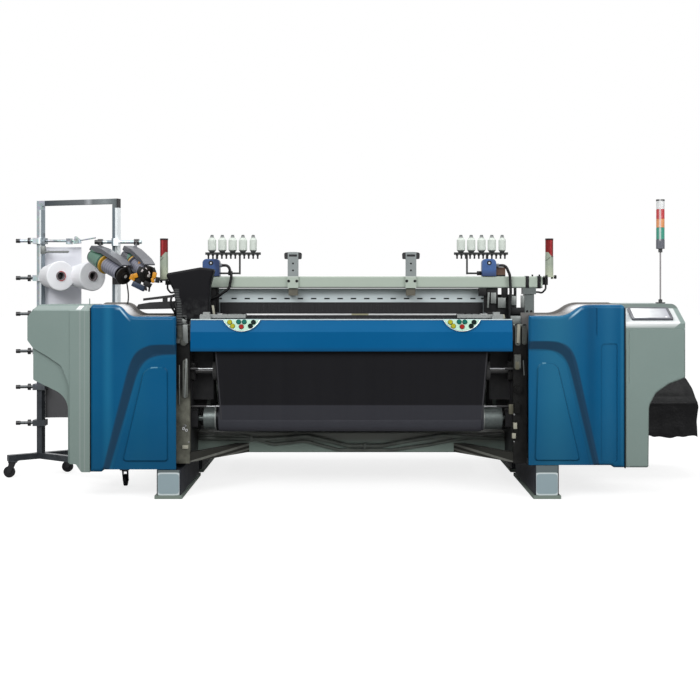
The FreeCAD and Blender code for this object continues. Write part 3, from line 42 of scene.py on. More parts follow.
# a shader socket that works in Python expressions
class Wire:
    def __init__(self, owner, socket):
        self.owner = owner
        self.socket = socket

    def join(self, operation, other, flipped=False):
        pair = (other, self) if flipped else (self, other)
        return self.owner.node("ShaderNodeMath", {"operation": operation}, {0: pair[0], 1: pair[1]}).out(0)

    def __add__(self, other):
        return self.join("ADD", other)

    def __radd__(self, other):
        return self.join("ADD", other, True)

    def __sub__(self, other):
        return self.join("SUBTRACT", other)

    def __rsub__(self, other):
        return self.join("SUBTRACT", other, True)

    def __mul__(self, other):
        return self.join("MULTIPLY", other)

    def __rmul__(self, other):
        return self.join("MULTIPLY", other, True)

    def __truediv__(self, other):
        return self.join("DIVIDE", other)

    def __gt__(self, other):
        return self.join("GREATER_THAN", other)

    def __lt__(self, other):
        return self.join("LESS_THAN", other)

    def power(self, other):
        return self.join("POWER", other)

    def most(self, other):
        return self.join("MAXIMUM", other)

    def size(self):
        return self.owner.node("ShaderNodeMath", {"operation": "ABSOLUTE"}, {0: self}).out(0)

    def wave(self):
        return self.owner.node("ShaderNodeMath", {"operation": "SINE"}, {0: self}).out(0)

    def held(self):
        return self.owner.node("ShaderNodeClamp", {}, {0: self}).out(0)

    def spread(self, low, high, start=0.0, end=1.0):
        return self.owner.node("ShaderNodeMapRange", {}, {0: self, 1: low, 2: high, 3: start, 4: end}).out(0)

    def ramp(self, stops, kind="LINEAR"):
        made = self.owner.node("ShaderNodeValToRGB", {"stops": stops}, {0: self})
        made.made.color_ramp.interpolation = kind
        return made.out(0)

    def band(self, low, high):
        return (self > low) * (self < high)

    def soft(self, middle, reach):
        # one at the middle, fading evenly to nothing at both sides
        near = (self - middle).size().spread(0.0, reach, 1.0, 0.0)
        return near * near * (3 - near * 2)

    def mix(self, first, second):
        return self.owner.mix(self, first, second)

    def under(self, *coats):
        # coats of colour laid in turn, each through its own mask
        made = self
        for mask, colour in coats:
            made = mask.mix(made, colour)
        return made


class Made:
    def __init__(self, owner, node):
        self.owner = owner
        self.made = node

    def out(self, which=0):
        return Wire(self.owner, self.made.outputs[which])


class Tree:
    def __init__(self, tree, shader):
        self.tree = tree
        self.shader = tree.nodes[shader]

    def plug(self, node, sockets):
        for key, value in sockets.items():
            if isinstance(value, Wire):
                self.tree.links.new(value.socket, node.inputs[key])
            else:
                node.inputs[key].default_value = value

    def node(self, kind, settings=None, sockets=None):
        node = self.tree.nodes.new(kind)
        for key, value in (settings or {}).items():
            if key == "stops":
                ramp = node.color_ramp
                while len(ramp.elements) < len(value):
                    ramp.elements.new(0.5)
                for element, (place, colour) in zip(ramp.elements, value):
                    element.position = place
                    element.color = (*colour, 1)
            else:
                setattr(node, key, value)
        self.plug(node, sockets or {})
        return Made(self, node)

    def set(self, **sockets):
        self.plug(self.shader, {key.replace("_", " "): value for key, value in sockets.items()})

    def mix(self, share, *pair):
        first, second = [(*c, 1) if isinstance(c, tuple) else c for c in pair]
        return self.node("ShaderNodeMix", {"data_type": "RGBA"}, {0: share, 6: first, 7: second}).out(2)


class Paint(Tree):
    def __init__(self, name, **fixed):
        self.material = bpy.data.materials.new(name)
        self.material.use_nodes = True
        super().__init__(self.material.node_tree, "Principled BSDF")
        self.set(**fixed)
        self.coords = self.node("ShaderNodeTexCoord").out("Object")
        parts = self.node("ShaderNodeSeparateXYZ", {}, {0: self.coords})
        self.place = self.x, self.y, self.z = [parts.out(i) for i in range(3)]

    def noise(self, scale, detail=3.0, rough=0.55, stretch=None):
        place = self.coords
        if stretch:
            place = self.node("ShaderNodeMapping", {}, {"Vector": self.coords, "Scale": stretch}).out(0)
        return self.node("ShaderNodeTexNoise", {}, {"Vector": place, "Scale": scale, "Detail": detail,
                                                    "Roughness": rough}).out(0)

    def away(self, point):
        # square of the distance to a point
        across, deep, up = [axis - value for axis, value in zip(self.place, point)]
        return across * across + deep * deep + up * up

    def bump(self, height, distance):
        made = self.node("ShaderNodeBump", {}, {"Height": height, "Distance": distance, "Strength": 1.0})
        self.set(Normal=made.out(0))


def toned(colour, share, lift=0.0):
    return tuple(c * share + lift for c in colour)


def named(start):
    return [name for name in nodes if name.startswith(start)]


def dress(paint, *names):
    for name in names:
        holder = nodes[name]
        holder.data.materials.clear()
        holder.data.materials.append(paint.material)


def consoleAxes(y, z):
    # distance up the sloping console, and out of it
    slope = math.atan2(0.115, 0.23)
    deep, high = y + 0.95, z - 1.055
    return deep * math.cos(slope) + high * math.sin(slope), high * math.cos(slope) - deep * math.sin(slope)


# moulded covers
def moulded(name, tone, dust=0.1, gloss=0.28, coat=0.05, peel=0.0002, spec=0.12):
    paint = Paint(name, Coat_Weight=coat, Coat_Roughness=0.12, Specular_IOR_Level=spec)
    cloudy = paint.noise(2.6, 4.0)
    specks = paint.noise(60.0, 5.0, 0.7)
    film = (cloudy * 0.5 + specks * 0.4 - 0.42).held()
    base = tone(paint, cloudy)
    paint.set(Base_Color=(film * dust).mix(base, (0.096, 0.112, 0.112)), Roughness=film * 0.25 + gloss)
    paint.bump(paint.noise(140.0, 2.0) * 0.5 + paint.noise(7.0, 2.0), peel)
    return paint


def frontCoverTone(climb, curve, paintedShading):
    # curve: foot and fall of the band's slanted run, height of its level run, bend, half widths low and high
    foot, fall, level, bend, low, high = curve

    def tone(paint, cloudy):
        x, y, z = paint.place
        side = x.size()
        blue = cloudy.mix((0.0022, 0.074, 0.172), (0.004, 0.094, 0.218))
        # painted light and shade: lighter and darker vertical streaks across the cover
        for place, reach, share, colour in paintedShading:
            blue = (side.soft(place, reach) * share).mix(blue, colour)
        slant = (side - foot + (z - 0.22) * fall) * 0.97
        away = paint.node("ShaderNodeMath", {"operation": "SMOOTH_MAX"},
                          {0: slant, 1: z - level, 2: bend}).out(0)
        wide = z.spread(0.22, level, low, high)
        # edge: the band over the recess walls, painted dark as painted shade
        edge = (away.size() - wide).spread(-0.0045, 0.0045, 1.0, 0.0) * (y < -0.926)
        boss = y.band(-0.9392, -0.929) * (away < -0.05)
        # gleam and spot: painted highlights on the inset panel's upper corner
        gleam = boss * z.spread(0.64, 0.76) * x.band(-1.3, -1.14).most(x.band(1.08, 1.17))
        spot = gleam * x.band(-1.208, -1.166).most(x.band(1.148, 1.17))
        top = side.spread(climb[0], climb[1], 1.088, 1.158)
        # glint: painted highlight along the bend under the top; shine: painted reflection on the brown top
        # surface
        glint = (top - z).soft(0.014, 0.012) * side.soft((climb[0] + climb[1]) / 2 + 0.012, 0.055)
        shine = (side.soft(climb[1] - 0.012, 0.075) * y.soft(-0.84, 0.34)).spread(0.0, 1.0, 0.0, 0.9)
        brown = paint.noise(9.0, 4.0).mix((0.11, 0.102, 0.098), (0.215, 0.202, 0.194))
        return blue.under(
            # painted shade: the cover darkens towards the bottom
            (z.spread(0.16, 0.62, 0.5, 0.0), (0.0035, 0.05, 0.105)),
            ((away + wide).soft(-0.008, 0.014) * 0.35, (0.01, 0.11, 0.215)),
            (edge * 0.92, (0.0115, 0.041, 0.08)), (boss * 0.3, (0.0045, 0.036, 0.08)),
            (gleam * 0.6, (0.016, 0.12, 0.215)), (spot * 0.5, (0.2, 0.4, 0.5)),
            ((glint * (y < -0.93) * 0.95).held(), (0.4, 0.58, 0.7)),
            ((z > top) * (y > -0.924), shine.mix(brown, (0.95, 0.95, 0.97))))
    return tone


def endCoverTone(paint, cloudy):
    x, y, z = paint.place
    left = x < 0
    right = 1 - left
    # creaseShadow: painted shadow along the crease of the end cover
    creaseShadow = y.band(-0.9475, -0.936) * (z < 0.9)
    # seamPaintedLight: the seam's groove is painted light so that its shade hardly shows
    seamPaintedLight = x.band(1.6635, 1.6685).most(z.band(1.0195, 1.0245)) * (x > 1.66) * (y > -0.9497) * (y < -0.944)
    ridges = (x.soft(-1.629, 0.008) + x.soft(-1.601, 0.006)).held() * left
    # rimLight and glare: painted highlights on the left end cover's top bevel
    rimLight = z.spread(1.134, 1.142) * (y < -0.88) * left
    glare = (rimLight * ((x - (z - 1.15) * 0.4).band(-1.652, -1.622) * 0.85 + 0.08)).held()
    # console: painted reflection, near white, on the console's slope; lower: painted highlight on the bevel
    # below the screen
    console = (consoleAxes(y, z)[1] > -0.0035) * z.band(1.04, 1.1695) * right
    lower = (z - 1.052).size().spread(0.004, 0.028, 1.0, 0.0) * right
    lower = lower * (y < -0.925) * x.spread(1.66, 1.93, 1.0, 0.75)
    near = (x - z.spread(1.03, 1.06, 1.94, 1.976)).spread(-0.003, 0.003, 1.0, 0.0)
    strip = z > 1.1425
    return cloudy.mix((0.175, 0.232, 0.215), (0.222, 0.285, 0.265)).under(
        (z.spread(0.15, 0.7, 0.25, 0.0), (0.124, 0.152, 0.132)), (creaseShadow * 0.6, (0.068, 0.084, 0.076)),
        (seamPaintedLight, (0.42, 0.5, 0.47)), (ridges * 0.35, (0.336, 0.36, 0.352)),
        ((console * near * (1 - strip)).held(), (0.62, 0.65, 0.65)),
        (console * strip, (0.115, 0.15, 0.138)),
        ((glare + lower * near * 0.95).held(), (0.78, 0.8, 0.8)))


def breastTone(paint, cloudy):
    z = paint.z
    brushed = paint.noise(60, 3, 0.6, (0.05, 1, 1)).mix((0.44, 0.54, 0.57), (0.68, 0.78, 0.8))
    return cloudy.mix((0.0016, 0.082, 0.216), (0.0036, 0.102, 0.262)).under(
        (z.spread(0.999, 1.006), cloudy.mix((0.0036, 0.1, 0.246), (0.009, 0.118, 0.285))),
        (z.spread(0.884, 0.91, 0.6, 0.0), (0.008, 0.048, 0.104)), (z > 1.0725, brushed))


# painted light and shade: lighter and darker vertical streaks across each front cover, as middle, reach, share
# and colour
leftPaintedShading = ((1.462, 0.045, 0.65, (0.013, 0.145, 0.275)), (1.535, 0.035, 0.5, (0.0025, 0.09, 0.205)),
              (1.28, 0.1, 0.3, (0.008, 0.105, 0.2)))
rightPaintedShading = ((1.225, 0.2, 0.75, (0.019, 0.138, 0.24)), (1.438, 0.05, 0.7, (0.0025, 0.062, 0.148)),
               (1.545, 0.07, 0.6, (0.014, 0.12, 0.24)), (1.625, 0.018, 0.6, (0.018, 0.145, 0.265)))
leftBand, rightBand = (1.463, 0.2674, 0.8974, 0.21, 0.019, 0.031), (1.4673, 0.23, 0.9244, 0.19, 0.017, 0.025)
dress(moulded("leftCoverFinish", frontCoverTone((1.332, 1.392), leftBand, leftPaintedShading)), "cover_front_left")
dress(moulded("rightCoverFinish", frontCoverTone((1.292, 1.381), rightBand, rightPaintedShading)), "cover_front_right")
dress(moulded("endCoverFinish", endCoverTone, 0.2, 0.34), "cover_end_left", "cover_end_right")
dress(moulded("breastCoverFinish", breastTone, 0.06, 0.34, 0.0, 0.0002, 0.05), "breast_cover")


# painted castings
def castPaint(name, colour, wear=0.7, dark=0.5, rough=0.42):
    paint = Paint(name, Specular_IOR_Level=0.2)
    broad = paint.noise(5.0, 5.0, 0.6)
    fine = paint.noise(90.0, 4.0, 0.65)
    grime = (broad * 0.9 + fine * 0.5 - 0.52).held()
    paint.body = (grime * wear).mix(colour, toned(colour, dark))
    paint.fine, paint.broad, paint.grime = fine, broad, grime
    paint.set(Base_Color=paint.body, Roughness=grime * 0.3 + (rough - 0.06))
    paint.bump(fine * 0.7 + paint.noise(320.0, 2.0) * 0.3, 0.0006)
    return paint


def sideFramePaint():
    paint = castPaint("sideFramePaint", (0.24, 0.28, 0.256))
    x, y, z = paint.place
    side = x.size()
    stain = (paint.noise(16.0, 5.0, 0.7) * 1.6 - 0.45).held()
    worn = stain.mix((0.052, 0.053, 0.042), (0.215, 0.216, 0.176))
    black = stain.mix((0.0056, 0.0056, 0.0056), (0.0192, 0.0192, 0.0184))
    edge = z.spread(0.56, 0.66).most(x > 0).mix(worn, black)
    levers = (y < -0.8503) * (side < 1.07)
    steel = (paint.fine * 0.6 + paint.broad * 0.4).mix((0.036, 0.0384, 0.0344), (0.168, 0.176, 0.16))
    steel = (z.band(0.3, 0.72) * (x > 0)).mix(steel, black)
    hose = (z > 1.0405) * (y < -0.8) * (side < 1.09)
    ribs = (z * 420.0).wave() * 0.5 + 0.5
    paint.set(Base_Color=paint.body.under(
        # painted shade: the frames' inner sides, between the frames, are painted near black
        ((side < 0.9856) * (y < 0.0), stain.mix((0.016, 0.016, 0.018), (0.034, 0.034, 0.034))),
        (y.band(-0.8515, -0.8) * (side < 1.07), edge), (levers, steel),
        (hose, ribs.mix((0.024, 0.0248, 0.0256), (0.068, 0.072, 0.072))),
        (y.band(-0.604, -0.572) * (side > 1.05), paint.broad.mix((0.096, 0.092, 0.088), (0.216, 0.208, 0.2)))))
    paint.set(Specular_IOR_Level=0.12, Metallic=levers * (1 - hose) * 0.4)
    paint.bump(paint.fine * 0.7 + ribs * hose * 3.0, 0.0008)
    return paint


def girderPaint():
    paint = castPaint("girderPaint", (0.4, 0.464, 0.4), 0.3, 0.8)
    z = paint.z
    lowEdge = (z < 1.2755) * (z > 1.26)
    stand = paint.grime.mix((0.136, 0.156, 0.152), (0.056, 0.064, 0.064))
    paint.set(Base_Color=paint.body.under((lowEdge * 0.7, (0.16, 0.184, 0.172)), (z < 1.2668, stand)))
    return paint


def feetPaint():
    paint = castPaint("feetPaint", (0.262, 0.335, 0.362), 0.25, 0.8)
    x, y, z = paint.place
    front = y < -0.9285
    edge = z < 0.0205
    side = paint.grime.mix((0.028, 0.0304, 0.0384), (0.0096, 0.0104, 0.0128))
    middle = (x > 0) * (1.177 + 1.101) - 1.101
    across = (x - middle).size() / 0.073
    upright = (z - 0.089).size() / 0.069
    rounded = across.power(8.0) + upright.power(8.0)
    rim = rounded.band(0.33, 0.94) * front
    outside = (rounded > 0.94) * front
    paint.set(Base_Color=front.mix(side, paint.body).under(
        (rim, (0.52, 0.58, 0.59)), (outside * (1 - edge), (0.11, 0.135, 0.14)), (edge, (0.176, 0.216, 0.188))))
    return paint


def lowerBeamPaint():
    paint = castPaint("lowerBeamPaint", (0.275, 0.35, 0.31), 0.4, 0.65)
    x, y, z = paint.place
    # painted shade: the beam's upper band is painted darker
    shade = z.spread(0.262, 0.3)
    brace = y < -0.4525
    top = shade.mix(paint.body, (0.19, 0.2, 0.182))
    line = z + x.size() * 0.175
    bars = line.band(0.343, 0.355).most(line.band(0.371, 0.385))
    arm = (bars * (paint.noise(30.0) * 0.8 + 0.5).held()).mix((0.03, 0.03, 0.026), (0.165, 0.168, 0.15))
    paint.set(Base_Color=brace.mix(top, arm))
    return paint


dress(sideFramePaint(), "side_frame_left", "side_frame_right")
dress(girderPaint(), "upper_girder")
dress(feetPaint(), "machine_feet")
dress(lowerBeamPaint(), "lower_beam")
print("covers and castings painted")


# metals
def turnedSteel(name, colour, along=(0.03, 1, 1), rough=0.3, metal=0.85):
    paint = Paint(name, Metallic=metal)
    paint.lines = paint.noise(120.0, 4.0, 0.6, along)
    paint.stain = paint.noise(6.0, 4.0)
    paint.body = paint.stain.mix(toned(colour, 0.7), colour)
    paint.set(Base_Color=paint.body, Roughness=paint.lines * 0.25 + rough - 0.1)
    paint.bump(paint.lines, 0.0002)
    return paint


def guideFinish():
    paint = turnedSteel("guideFinish", (0.288, 0.32, 0.32), (1, 1, 0.1), 0.4, 0.3)
    x, y, z = paint.place
    ears = z > 1.4525
    over = z < 1.3425
    tan = paint.noise(30.0, 4.0).mix((0.06, 0.056, 0.0416), (0.14, 0.132, 0.1))
    crossing = z.spread(1.334, 1.338).mix((0.4, 0.464, 0.4), (0.496, 0.544, 0.496))
    side = (ears * (((x + 0.374).size() - 0.034) * ((x - 0.3808).size() - 0.034) > 0.0)).held()
    paint.set(Base_Color=paint.body.under(
        (over, crossing), (z < 1.2665, tan), (side, (0.009, 0.009, 0.01)),
        ((y > -0.4805) * ears, (0.028, 0.0288, 0.0304))), Metallic=(1 - over) * (1 - side) * 0.3)
    return paint


def creelFinish():
    paint = turnedSteel("creelZinc", (0.4, 0.448, 0.48), (1, 1, 0.1), 0.34, 0.6)
    x, y, z = paint.place
    aboveFeet = z > 0.2
    cap = (x.band(-1.6835, -1.6615) * z.band(1.54, 1.6)).most((x > -1.5455) * (z > 1.797))
    coneChuck = z.band(1.29, 1.4) * (x > -2.06) * (y < -0.02)
    dark = ((x < -2.2385) * aboveFeet).most(cap).most(x.band(-2.1895, -2.1705) * aboveFeet).most(coneChuck)
    spangle = paint.node("ShaderNodeTexVoronoi", {}, {"Vector": paint.coords, "Scale": 70.0}).out(1)
    stops = [(0.0, (0.055, 0.066, 0.08)), (0.25, (0.105, 0.118, 0.124)), (0.55, (0.16, 0.172, 0.182)),
             (0.62, (0.42, 0.44, 0.46)), (0.68, (0.17, 0.188, 0.196)), (0.85, (0.26, 0.29, 0.3)),
             (1.0, (0.13, 0.15, 0.155))]
    upright = z.band(1.05, 1.795)
    hard = (z > 1.54) * (z < 1.64) * (x < -1.84) * (x > -2.09)
    # the posts' near-white strips are painted highlights and their darker strips painted shade
    grey = paint.mix(0.1, (0.4, 0.464, 0.496), spangle).under(
        (x.band(-1.6, -1.5565) * upright, (0.145, 0.18, 0.205)),
        (x.band(-2.0985, -2.05) * upright, (0.26, 0.31, 0.34)),
        (x.band(-1.5565, -1.515).most(x.band(-2.11, -2.0985)) * upright, (0.9, 0.95, 0.97)),
        ((z > 1.795) * (x > -2.072), x.spread(-2.07, -1.55).ramp(stops)),
        (hard * (paint.noise(45.0, 3.0) * 2.4 - 0.8).held(), (0.072, 0.08, 0.088)))
    lower = paint.noise(14.0, 4.0).mix((0.028, 0.032, 0.0384), (0.104, 0.116, 0.128))
    paint.set(Base_Color=z.spread(0.55, 0.95).mix(lower, grey).under(
        ((x < -2.15) * aboveFeet * (z < 1.5), (0.08, 0.088, 0.092)), (dark, (0.0096, 0.0096, 0.0112))),
        Metallic=0.6 - dark * 0.6)
    return paint


def rackFinish():
    paint = turnedSteel("rackFinish", (0.016, 0.0184, 0.0176), (1, 1, 0.1), 0.5, 0.0)
    z = paint.z
    peg = (z < 1.4812) * (z > 1.457)
    paint.set(Base_Color=peg.mix(paint.body, (0.0112, 0.0112, 0.012)))
    return paint


steel = turnedSteel("turnedSteel", (0.44, 0.448, 0.456))
darkSteel = turnedSteel("darkSteel", (0.036, 0.036, 0.0368), (0.2, 1, 1), 0.42, 0.4)
dress(guideFinish(), "heald_guides")
dress(creelFinish(), "creel_frame")
dress(rackFinish(), "bobbin_racks")
dress(turnedSteel("blackFork", (0.024, 0.0248, 0.028), (1, 1, 0.1), 0.38, 0.3), *named("castor_fork"))
dress(steel, "back_rest")
dress(turnedSteel("sleyFinish", (0.024, 0.0256, 0.0256), (0.2, 1, 1), 0.45, 0.3), "sley")


def breastBeamPaint():
    paint = castPaint("breastBeamPaint", (0.036, 0.04, 0.0376), 0.6, 0.5)
    y, z = paint.y, paint.z
    temple = z > 1.0705
    bright = paint.fine.mix((0.192, 0.208, 0.204), (0.416, 0.432, 0.424))
    head = y.band(-0.736, -0.7)
    paint.set(Base_Color=temple.mix(paint.body, head.mix(bright, (0.036, 0.0368, 0.0384))),
              Metallic=temple * 0.4)
    return paint


dress(breastBeamPaint(), "breast_beam")


def rollFinish(name, half, radius, centre, wound, woundRough, bare):
    paint = Paint(name, Specular_IOR_Level=0.15)
    x, y, z = paint.place
    off = (y - centre[0]) * (y - centre[0]) + (z - centre[1]) * (z - centre[1])
    roll = (x.size() < half) * (off < (radius + 0.001) ** 2)
    fine = (x * 4200.0).wave() * 0.5 + 0.5
    drift = paint.noise(14.0, 4.0, 0.6, (1, 0.15, 0.15))
    cloth = (drift * 0.7 + fine * 0.3).mix(wound, toned(wound, 1.5))
    # painted light: the underside of the wound cloth, which lies in shade, is painted lighter
    under = (z - centre[1]).spread(radius * -0.25, radius * -0.95)
    cloth = (under * 0.8).mix(cloth, toned(wound, 2.4))
    worn = paint.noise(60.0, 4.0, 0.65).mix(toned(bare, 0.55), toned(bare, 1.25))
    paint.body = roll.mix(worn, cloth)
    paint.set(Base_Color=paint.body, Metallic=0.55 - roll * 0.55, Roughness=roll * (woundRough - 0.36) + 0.36)
    paint.bump(fine * roll, 0.0003)
    return paint


def clothRollFinish():
    paint = rollFinish("clothRollFinish", 0.8195, 0.082, (-0.7, 0.46), (0.033, 0.034, 0.041), 0.55,
                       (0.128, 0.148, 0.144))
    ring = paint.x.band(-0.834, -0.8185).most(paint.x.band(0.7995, 0.803))
    paint.set(Base_Color=ring.mix(paint.body, (0.008, 0.0088, 0.0104)))
    return paint


dress(clothRollFinish(), "cloth_roller")
dress(rollFinish("takeupFinish", 0.849, 0.058, (-0.76, 0.757), (0.024, 0.024, 0.024), 0.8,
                 (0.072, 0.072, 0.072)), "takeup_roller")
dress(rollFinish("warpBeamFinish", 0.8535, 0.3002, (0.46, 0.5), (0.0112, 0.0112, 0.0144), 0.6,
                 (0.24, 0.256, 0.248)), "warp_beam")


def reedFinish():
    paint = Paint("reedFinish", Metallic=0.3, Roughness=0.35)
    x, z = paint.x, paint.z
    streak = paint.noise(60.0, 3.0, 0.6, (0.02, 1, 1))
    white = streak.mix((0.44, 0.46, 0.47), (0.7, 0.71, 0.71)).under(
        (x.spread(-0.55, 0.0, 0.8, 0.0), (0.95, 0.95, 0.95)), (x.band(0.0, 0.108), (0.288, 0.28, 0.184)))
    paint.set(Base_Color=(z > 1.0958).mix((0.0112, 0.0112, 0.0128), white))
    return paint


def staveFinish():
    paint = Paint("healdStaveFinish", Specular_IOR_Level=0.4)
    x, y, z = paint.place
    side = x.size()
    run = paint.noise(80.0, 3.0, 0.6, (0.03, 1, 1))
    wires = z.band(0.93, 1.1738) * (side < 0.853)
    paint.set(Base_Color=run.mix((0.48, 0.55, 0.565), (0.6, 0.67, 0.68)).under(
        (z.spread(1.222, 1.232, 0.0, 1.0) * 0.5, (0.34, 0.4, 0.4)),
        (z.band(1.1935, 1.2035) * side.band(0.84, 0.868), (0.0096, 0.0096, 0.0104)),
        (z.spread(1.174, 1.1765, 1.0, 0.0) * 0.7, (0.04, 0.048, 0.052)),
        (y > -0.3675, (0.036, 0.04, 0.0416)), (wires, (0.0176, 0.0176, 0.0192))))
    paint.set(Metallic=(1 - wires) * 0.25, Roughness=run * 0.2 + 0.35)
    paint.bump(run, 0.0002)
    return paint


dress(reedFinish(), "reed")
dress(staveFinish(), *named("heald_frame"))
print("rollers, reed and frames finished")


def glossMoulding(name, colour, rough=0.3, coat=0.05, lift=0.006, spec=0.2):
    paint = Paint(name, Coat_Weight=coat, Specular_IOR_Level=spec)
    wear = paint.noise(160.0, 4.0, 0.6)
    paint.body = (wear * 0.5).mix(colour, toned(colour, 0.6, lift))
    paint.set(Base_Color=paint.body, Roughness=wear * 0.2 + rough - 0.08)
    paint.bump(wear, 0.0002)
    return paint


buttonColours = {"yellow": (0.4, 0.384, 0.024), "green": (0.006, 0.135, 0.105), "red": (0.336, 0.02, 0.016),
                 "black": (0.0048, 0.0128, 0.0112)}
for colourName, colour in buttonColours.items():
    finish = glossMoulding(colourName + "ButtonFinish", colour, 0.4, 0.0, 0.002, 0.06)
    dress(finish, *[n for n in named("button_") if "_" + colourName in n])


panelTilt = math.atan2(18, 73)


def panelFinish():
    # mint face inside a bright rounded rim
    paint = glossMoulding("panelFinish", (0.5, 0.74, 0.59), 0.4)
    x, z = paint.x, paint.z
    across = x.size() - 0.6685
    up = (z - 1.001) / math.cos(panelTilt)
    # the rim's arc has a half chord of 113 mm and a rise of 70 mm
    radius = (0.113 ** 2 + 0.07 ** 2) / (2 * 0.07)
    away = ((across * across + (up - 0.002 - radius) * (up - 0.002 - radius)).power(0.5) - radius).size()
    rim = away.band(0.0005, 0.006)
    ring = away.band(0.006, 0.0088)
    face = (ring * 0.6).mix(paint.body, (0.1, 0.24, 0.18))
    paint.set(Base_Color=rim.mix(face, (0.9, 0.97, 0.93)))
    return paint


dress(panelFinish(), "button_panels")
dress(glossMoulding("castorTread", (0.0176, 0.0176, 0.0208), 0.5), *named("castor_wheel"))
rubber = glossMoulding("blackRubber", (0.0096, 0.0096, 0.0104), 0.5, 0.0)


def cableFinish():
    paint = glossMoulding("cableSheath", (0.032, 0.0376, 0.0344), 0.28, 0.2)
    paint.set(Base_Color=paint.noise(9.0, 4.0).mix((0.026, 0.03, 0.027), (0.2, 0.225, 0.2)))
    return paint


dress(cableFinish(), "machine_cables")


def selectorFinish():
    paint = glossMoulding("selectorShell", (0.0048, 0.0048, 0.0064), 0.46, 0.0, 0.0012, 0.12)
    x, z = paint.x, paint.z
    armTone = paint.noise(24.0, 4.0, 0.6, (0.3, 1, 1)).mix((0.0096, 0.0096, 0.0104), (0.056, 0.056, 0.056))
    low = z.spread(1.22, 1.14) * (paint.noise(34.0, 3.0) * 1.6 - 0.6).held()
    paint.set(Base_Color=paint.body.under((low * 0.8, (0.06, 0.0624, 0.0624)),
                                          ((x < -1.105) * (z < 1.232), armTone)))
    return paint


dress(selectorFinish(), "weft_selector")


# rear and front end of each feeder's axis
feederAxes = [((-1.7, -0.318, 1.483), (-1.428, -0.598, 1.343)),
              ((-1.472, -0.336, 1.482), (-1.274, -0.64, 1.348))]


def feederFinish():
    # parts lie at set distances along each feeder's axis
    paint = Paint("feederFinish", Coat_Weight=0.2, Specular_IOR_Level=0.4)
    x, y, z = paint.place
    wear = paint.noise(110.0, 4.0, 0.6)
    shellTone = wear.mix((0.052, 0.056, 0.068), (0.092, 0.096, 0.112))
    stops = [(0.0, (0.008, 0.008, 0.0096)), (0.075, (0.08, 0.192, 0.136)), (0.4, (0.04, 0.044, 0.044)),
             (0.445, (0.576, 0.336, 0.032)), (0.5, (0.24, 0.248, 0.304)), (0.89, (0.0112, 0.0112, 0.012))]
    tones = []
    for rear, front in feederAxes:
        line = Vector(front) - Vector(rear)
        long = line.length
        line.normalize()
        along = (x - rear[0]) * line.x + (y - rear[1]) * line.y + (z - rear[2]) * line.z
        radius = (paint.away(rear) - along * along).most(0.0).power(0.5)
        slots = ((along * 260.0).wave() > 0.2) * along.band(long * 0.5, long * 0.89) * 0.5
        shell = (radius > 0.0635).most((radius > 0.0405) * (along < 0.0))
        tones.append((along / long).ramp(stops, "CONSTANT").under(
            (wear * 0.25, (0.032, 0.036, 0.036)), (slots, (0.08, 0.08, 0.12)), (shell, shellTone)))
    clamp = (z > 1.53) * (y > -0.36)
    paint.set(Base_Color=clamp.mix((x > -1.4385).mix(*tones), (0.016, 0.016, 0.0176)),
              Roughness=wear * 0.2 + 0.28)
    paint.bump(wear, 0.0003)
    return paint


def discFinish():
    paint = glossMoulding("feederDiscFinish", (0.0128, 0.012, 0.0112), 0.4, 0.2)
    first, second = [paint.away(front) < 0.0145 ** 2 for _, front in feederAxes]
    paint.set(Base_Color=first.most(second).mix(paint.body, (0.496, 0.496, 0.48)))
    return paint


dress(feederFinish(), "weft_feeders")
dress(discFinish(), "feeder_disc_1", "feeder_disc_2")


def driveFinish():
    paint = glossMoulding("driveFinish", (0.056, 0.112, 0.288), 0.35)
    x, y, z = paint.place
    cable = (y < -0.4805).most(x > 1.0).most(x.band(-0.8445, -0.7) * (z < 1.43))
    wear = paint.noise(60.0, 4.0)
    blue = wear.mix((0.044, 0.092, 0.24), (0.068, 0.14, 0.336))
    box = (x > 0.9285) * (z > 1.341)
    brown = wear.mix((0.105, 0.06, 0.042), (0.185, 0.11, 0.08)).under(
        (z < 1.352, (0.012, 0.012, 0.013)), (z > 1.399, (0.22, 0.225, 0.23)))
    # leftDriveShade: painted shade over the upper right of the left drive
    leftDriveShade = (x < 0) * (x + z * 0.35).spread(-0.394, -0.372)
    gland = x.band(-0.8455, -0.829).most(x.band(0.9275, 0.944)) * z.band(1.399, 1.4255)
    paint.set(Base_Color=blue.under(
        (z.spread(1.355, 1.385, 1.0, 0.0), (0.04, 0.068, 0.16)), (y > -0.4195, (0.044, 0.044, 0.048)),
        ((x < 0) * 0.45, (0.026, 0.048, 0.13)), (leftDriveShade * 0.75, (0.02, 0.032, 0.08)),
        (box * (y > -0.4475), brown), (cable, (0.0096, 0.0096, 0.0104)), (gland, (0.128, 0.136, 0.152))))
    return paint


dress(driveFinish(), "selvedge_drives")


def bobbinFinish():
    paint = Paint("bobbinYarn", Roughness=0.75, Sheen_Weight=0.15)
    x, z = paint.x, paint.z
    turns = (z * 1900.0 + x * 500.0).wave() * 0.5 + 0.5
    fuzz = paint.noise(220.0, 4.0, 0.6)
    paint.set(Base_Color=(turns * 0.4 + fuzz * 0.4).mix((0.5, 0.55, 0.5), (0.74, 0.79, 0.74)).under(
        (z.spread(1.588, 1.594), (0.22, 0.235, 0.23)), (z > 1.604, (0.07, 0.075, 0.075)),
        (z.spread(1.507, 1.512, 1.0, 0.0), (0.045, 0.05, 0.048))))
    paint.bump(turns * 0.5 + fuzz * 0.5, 0.0006)
    return paint


coneHeight = 1.346


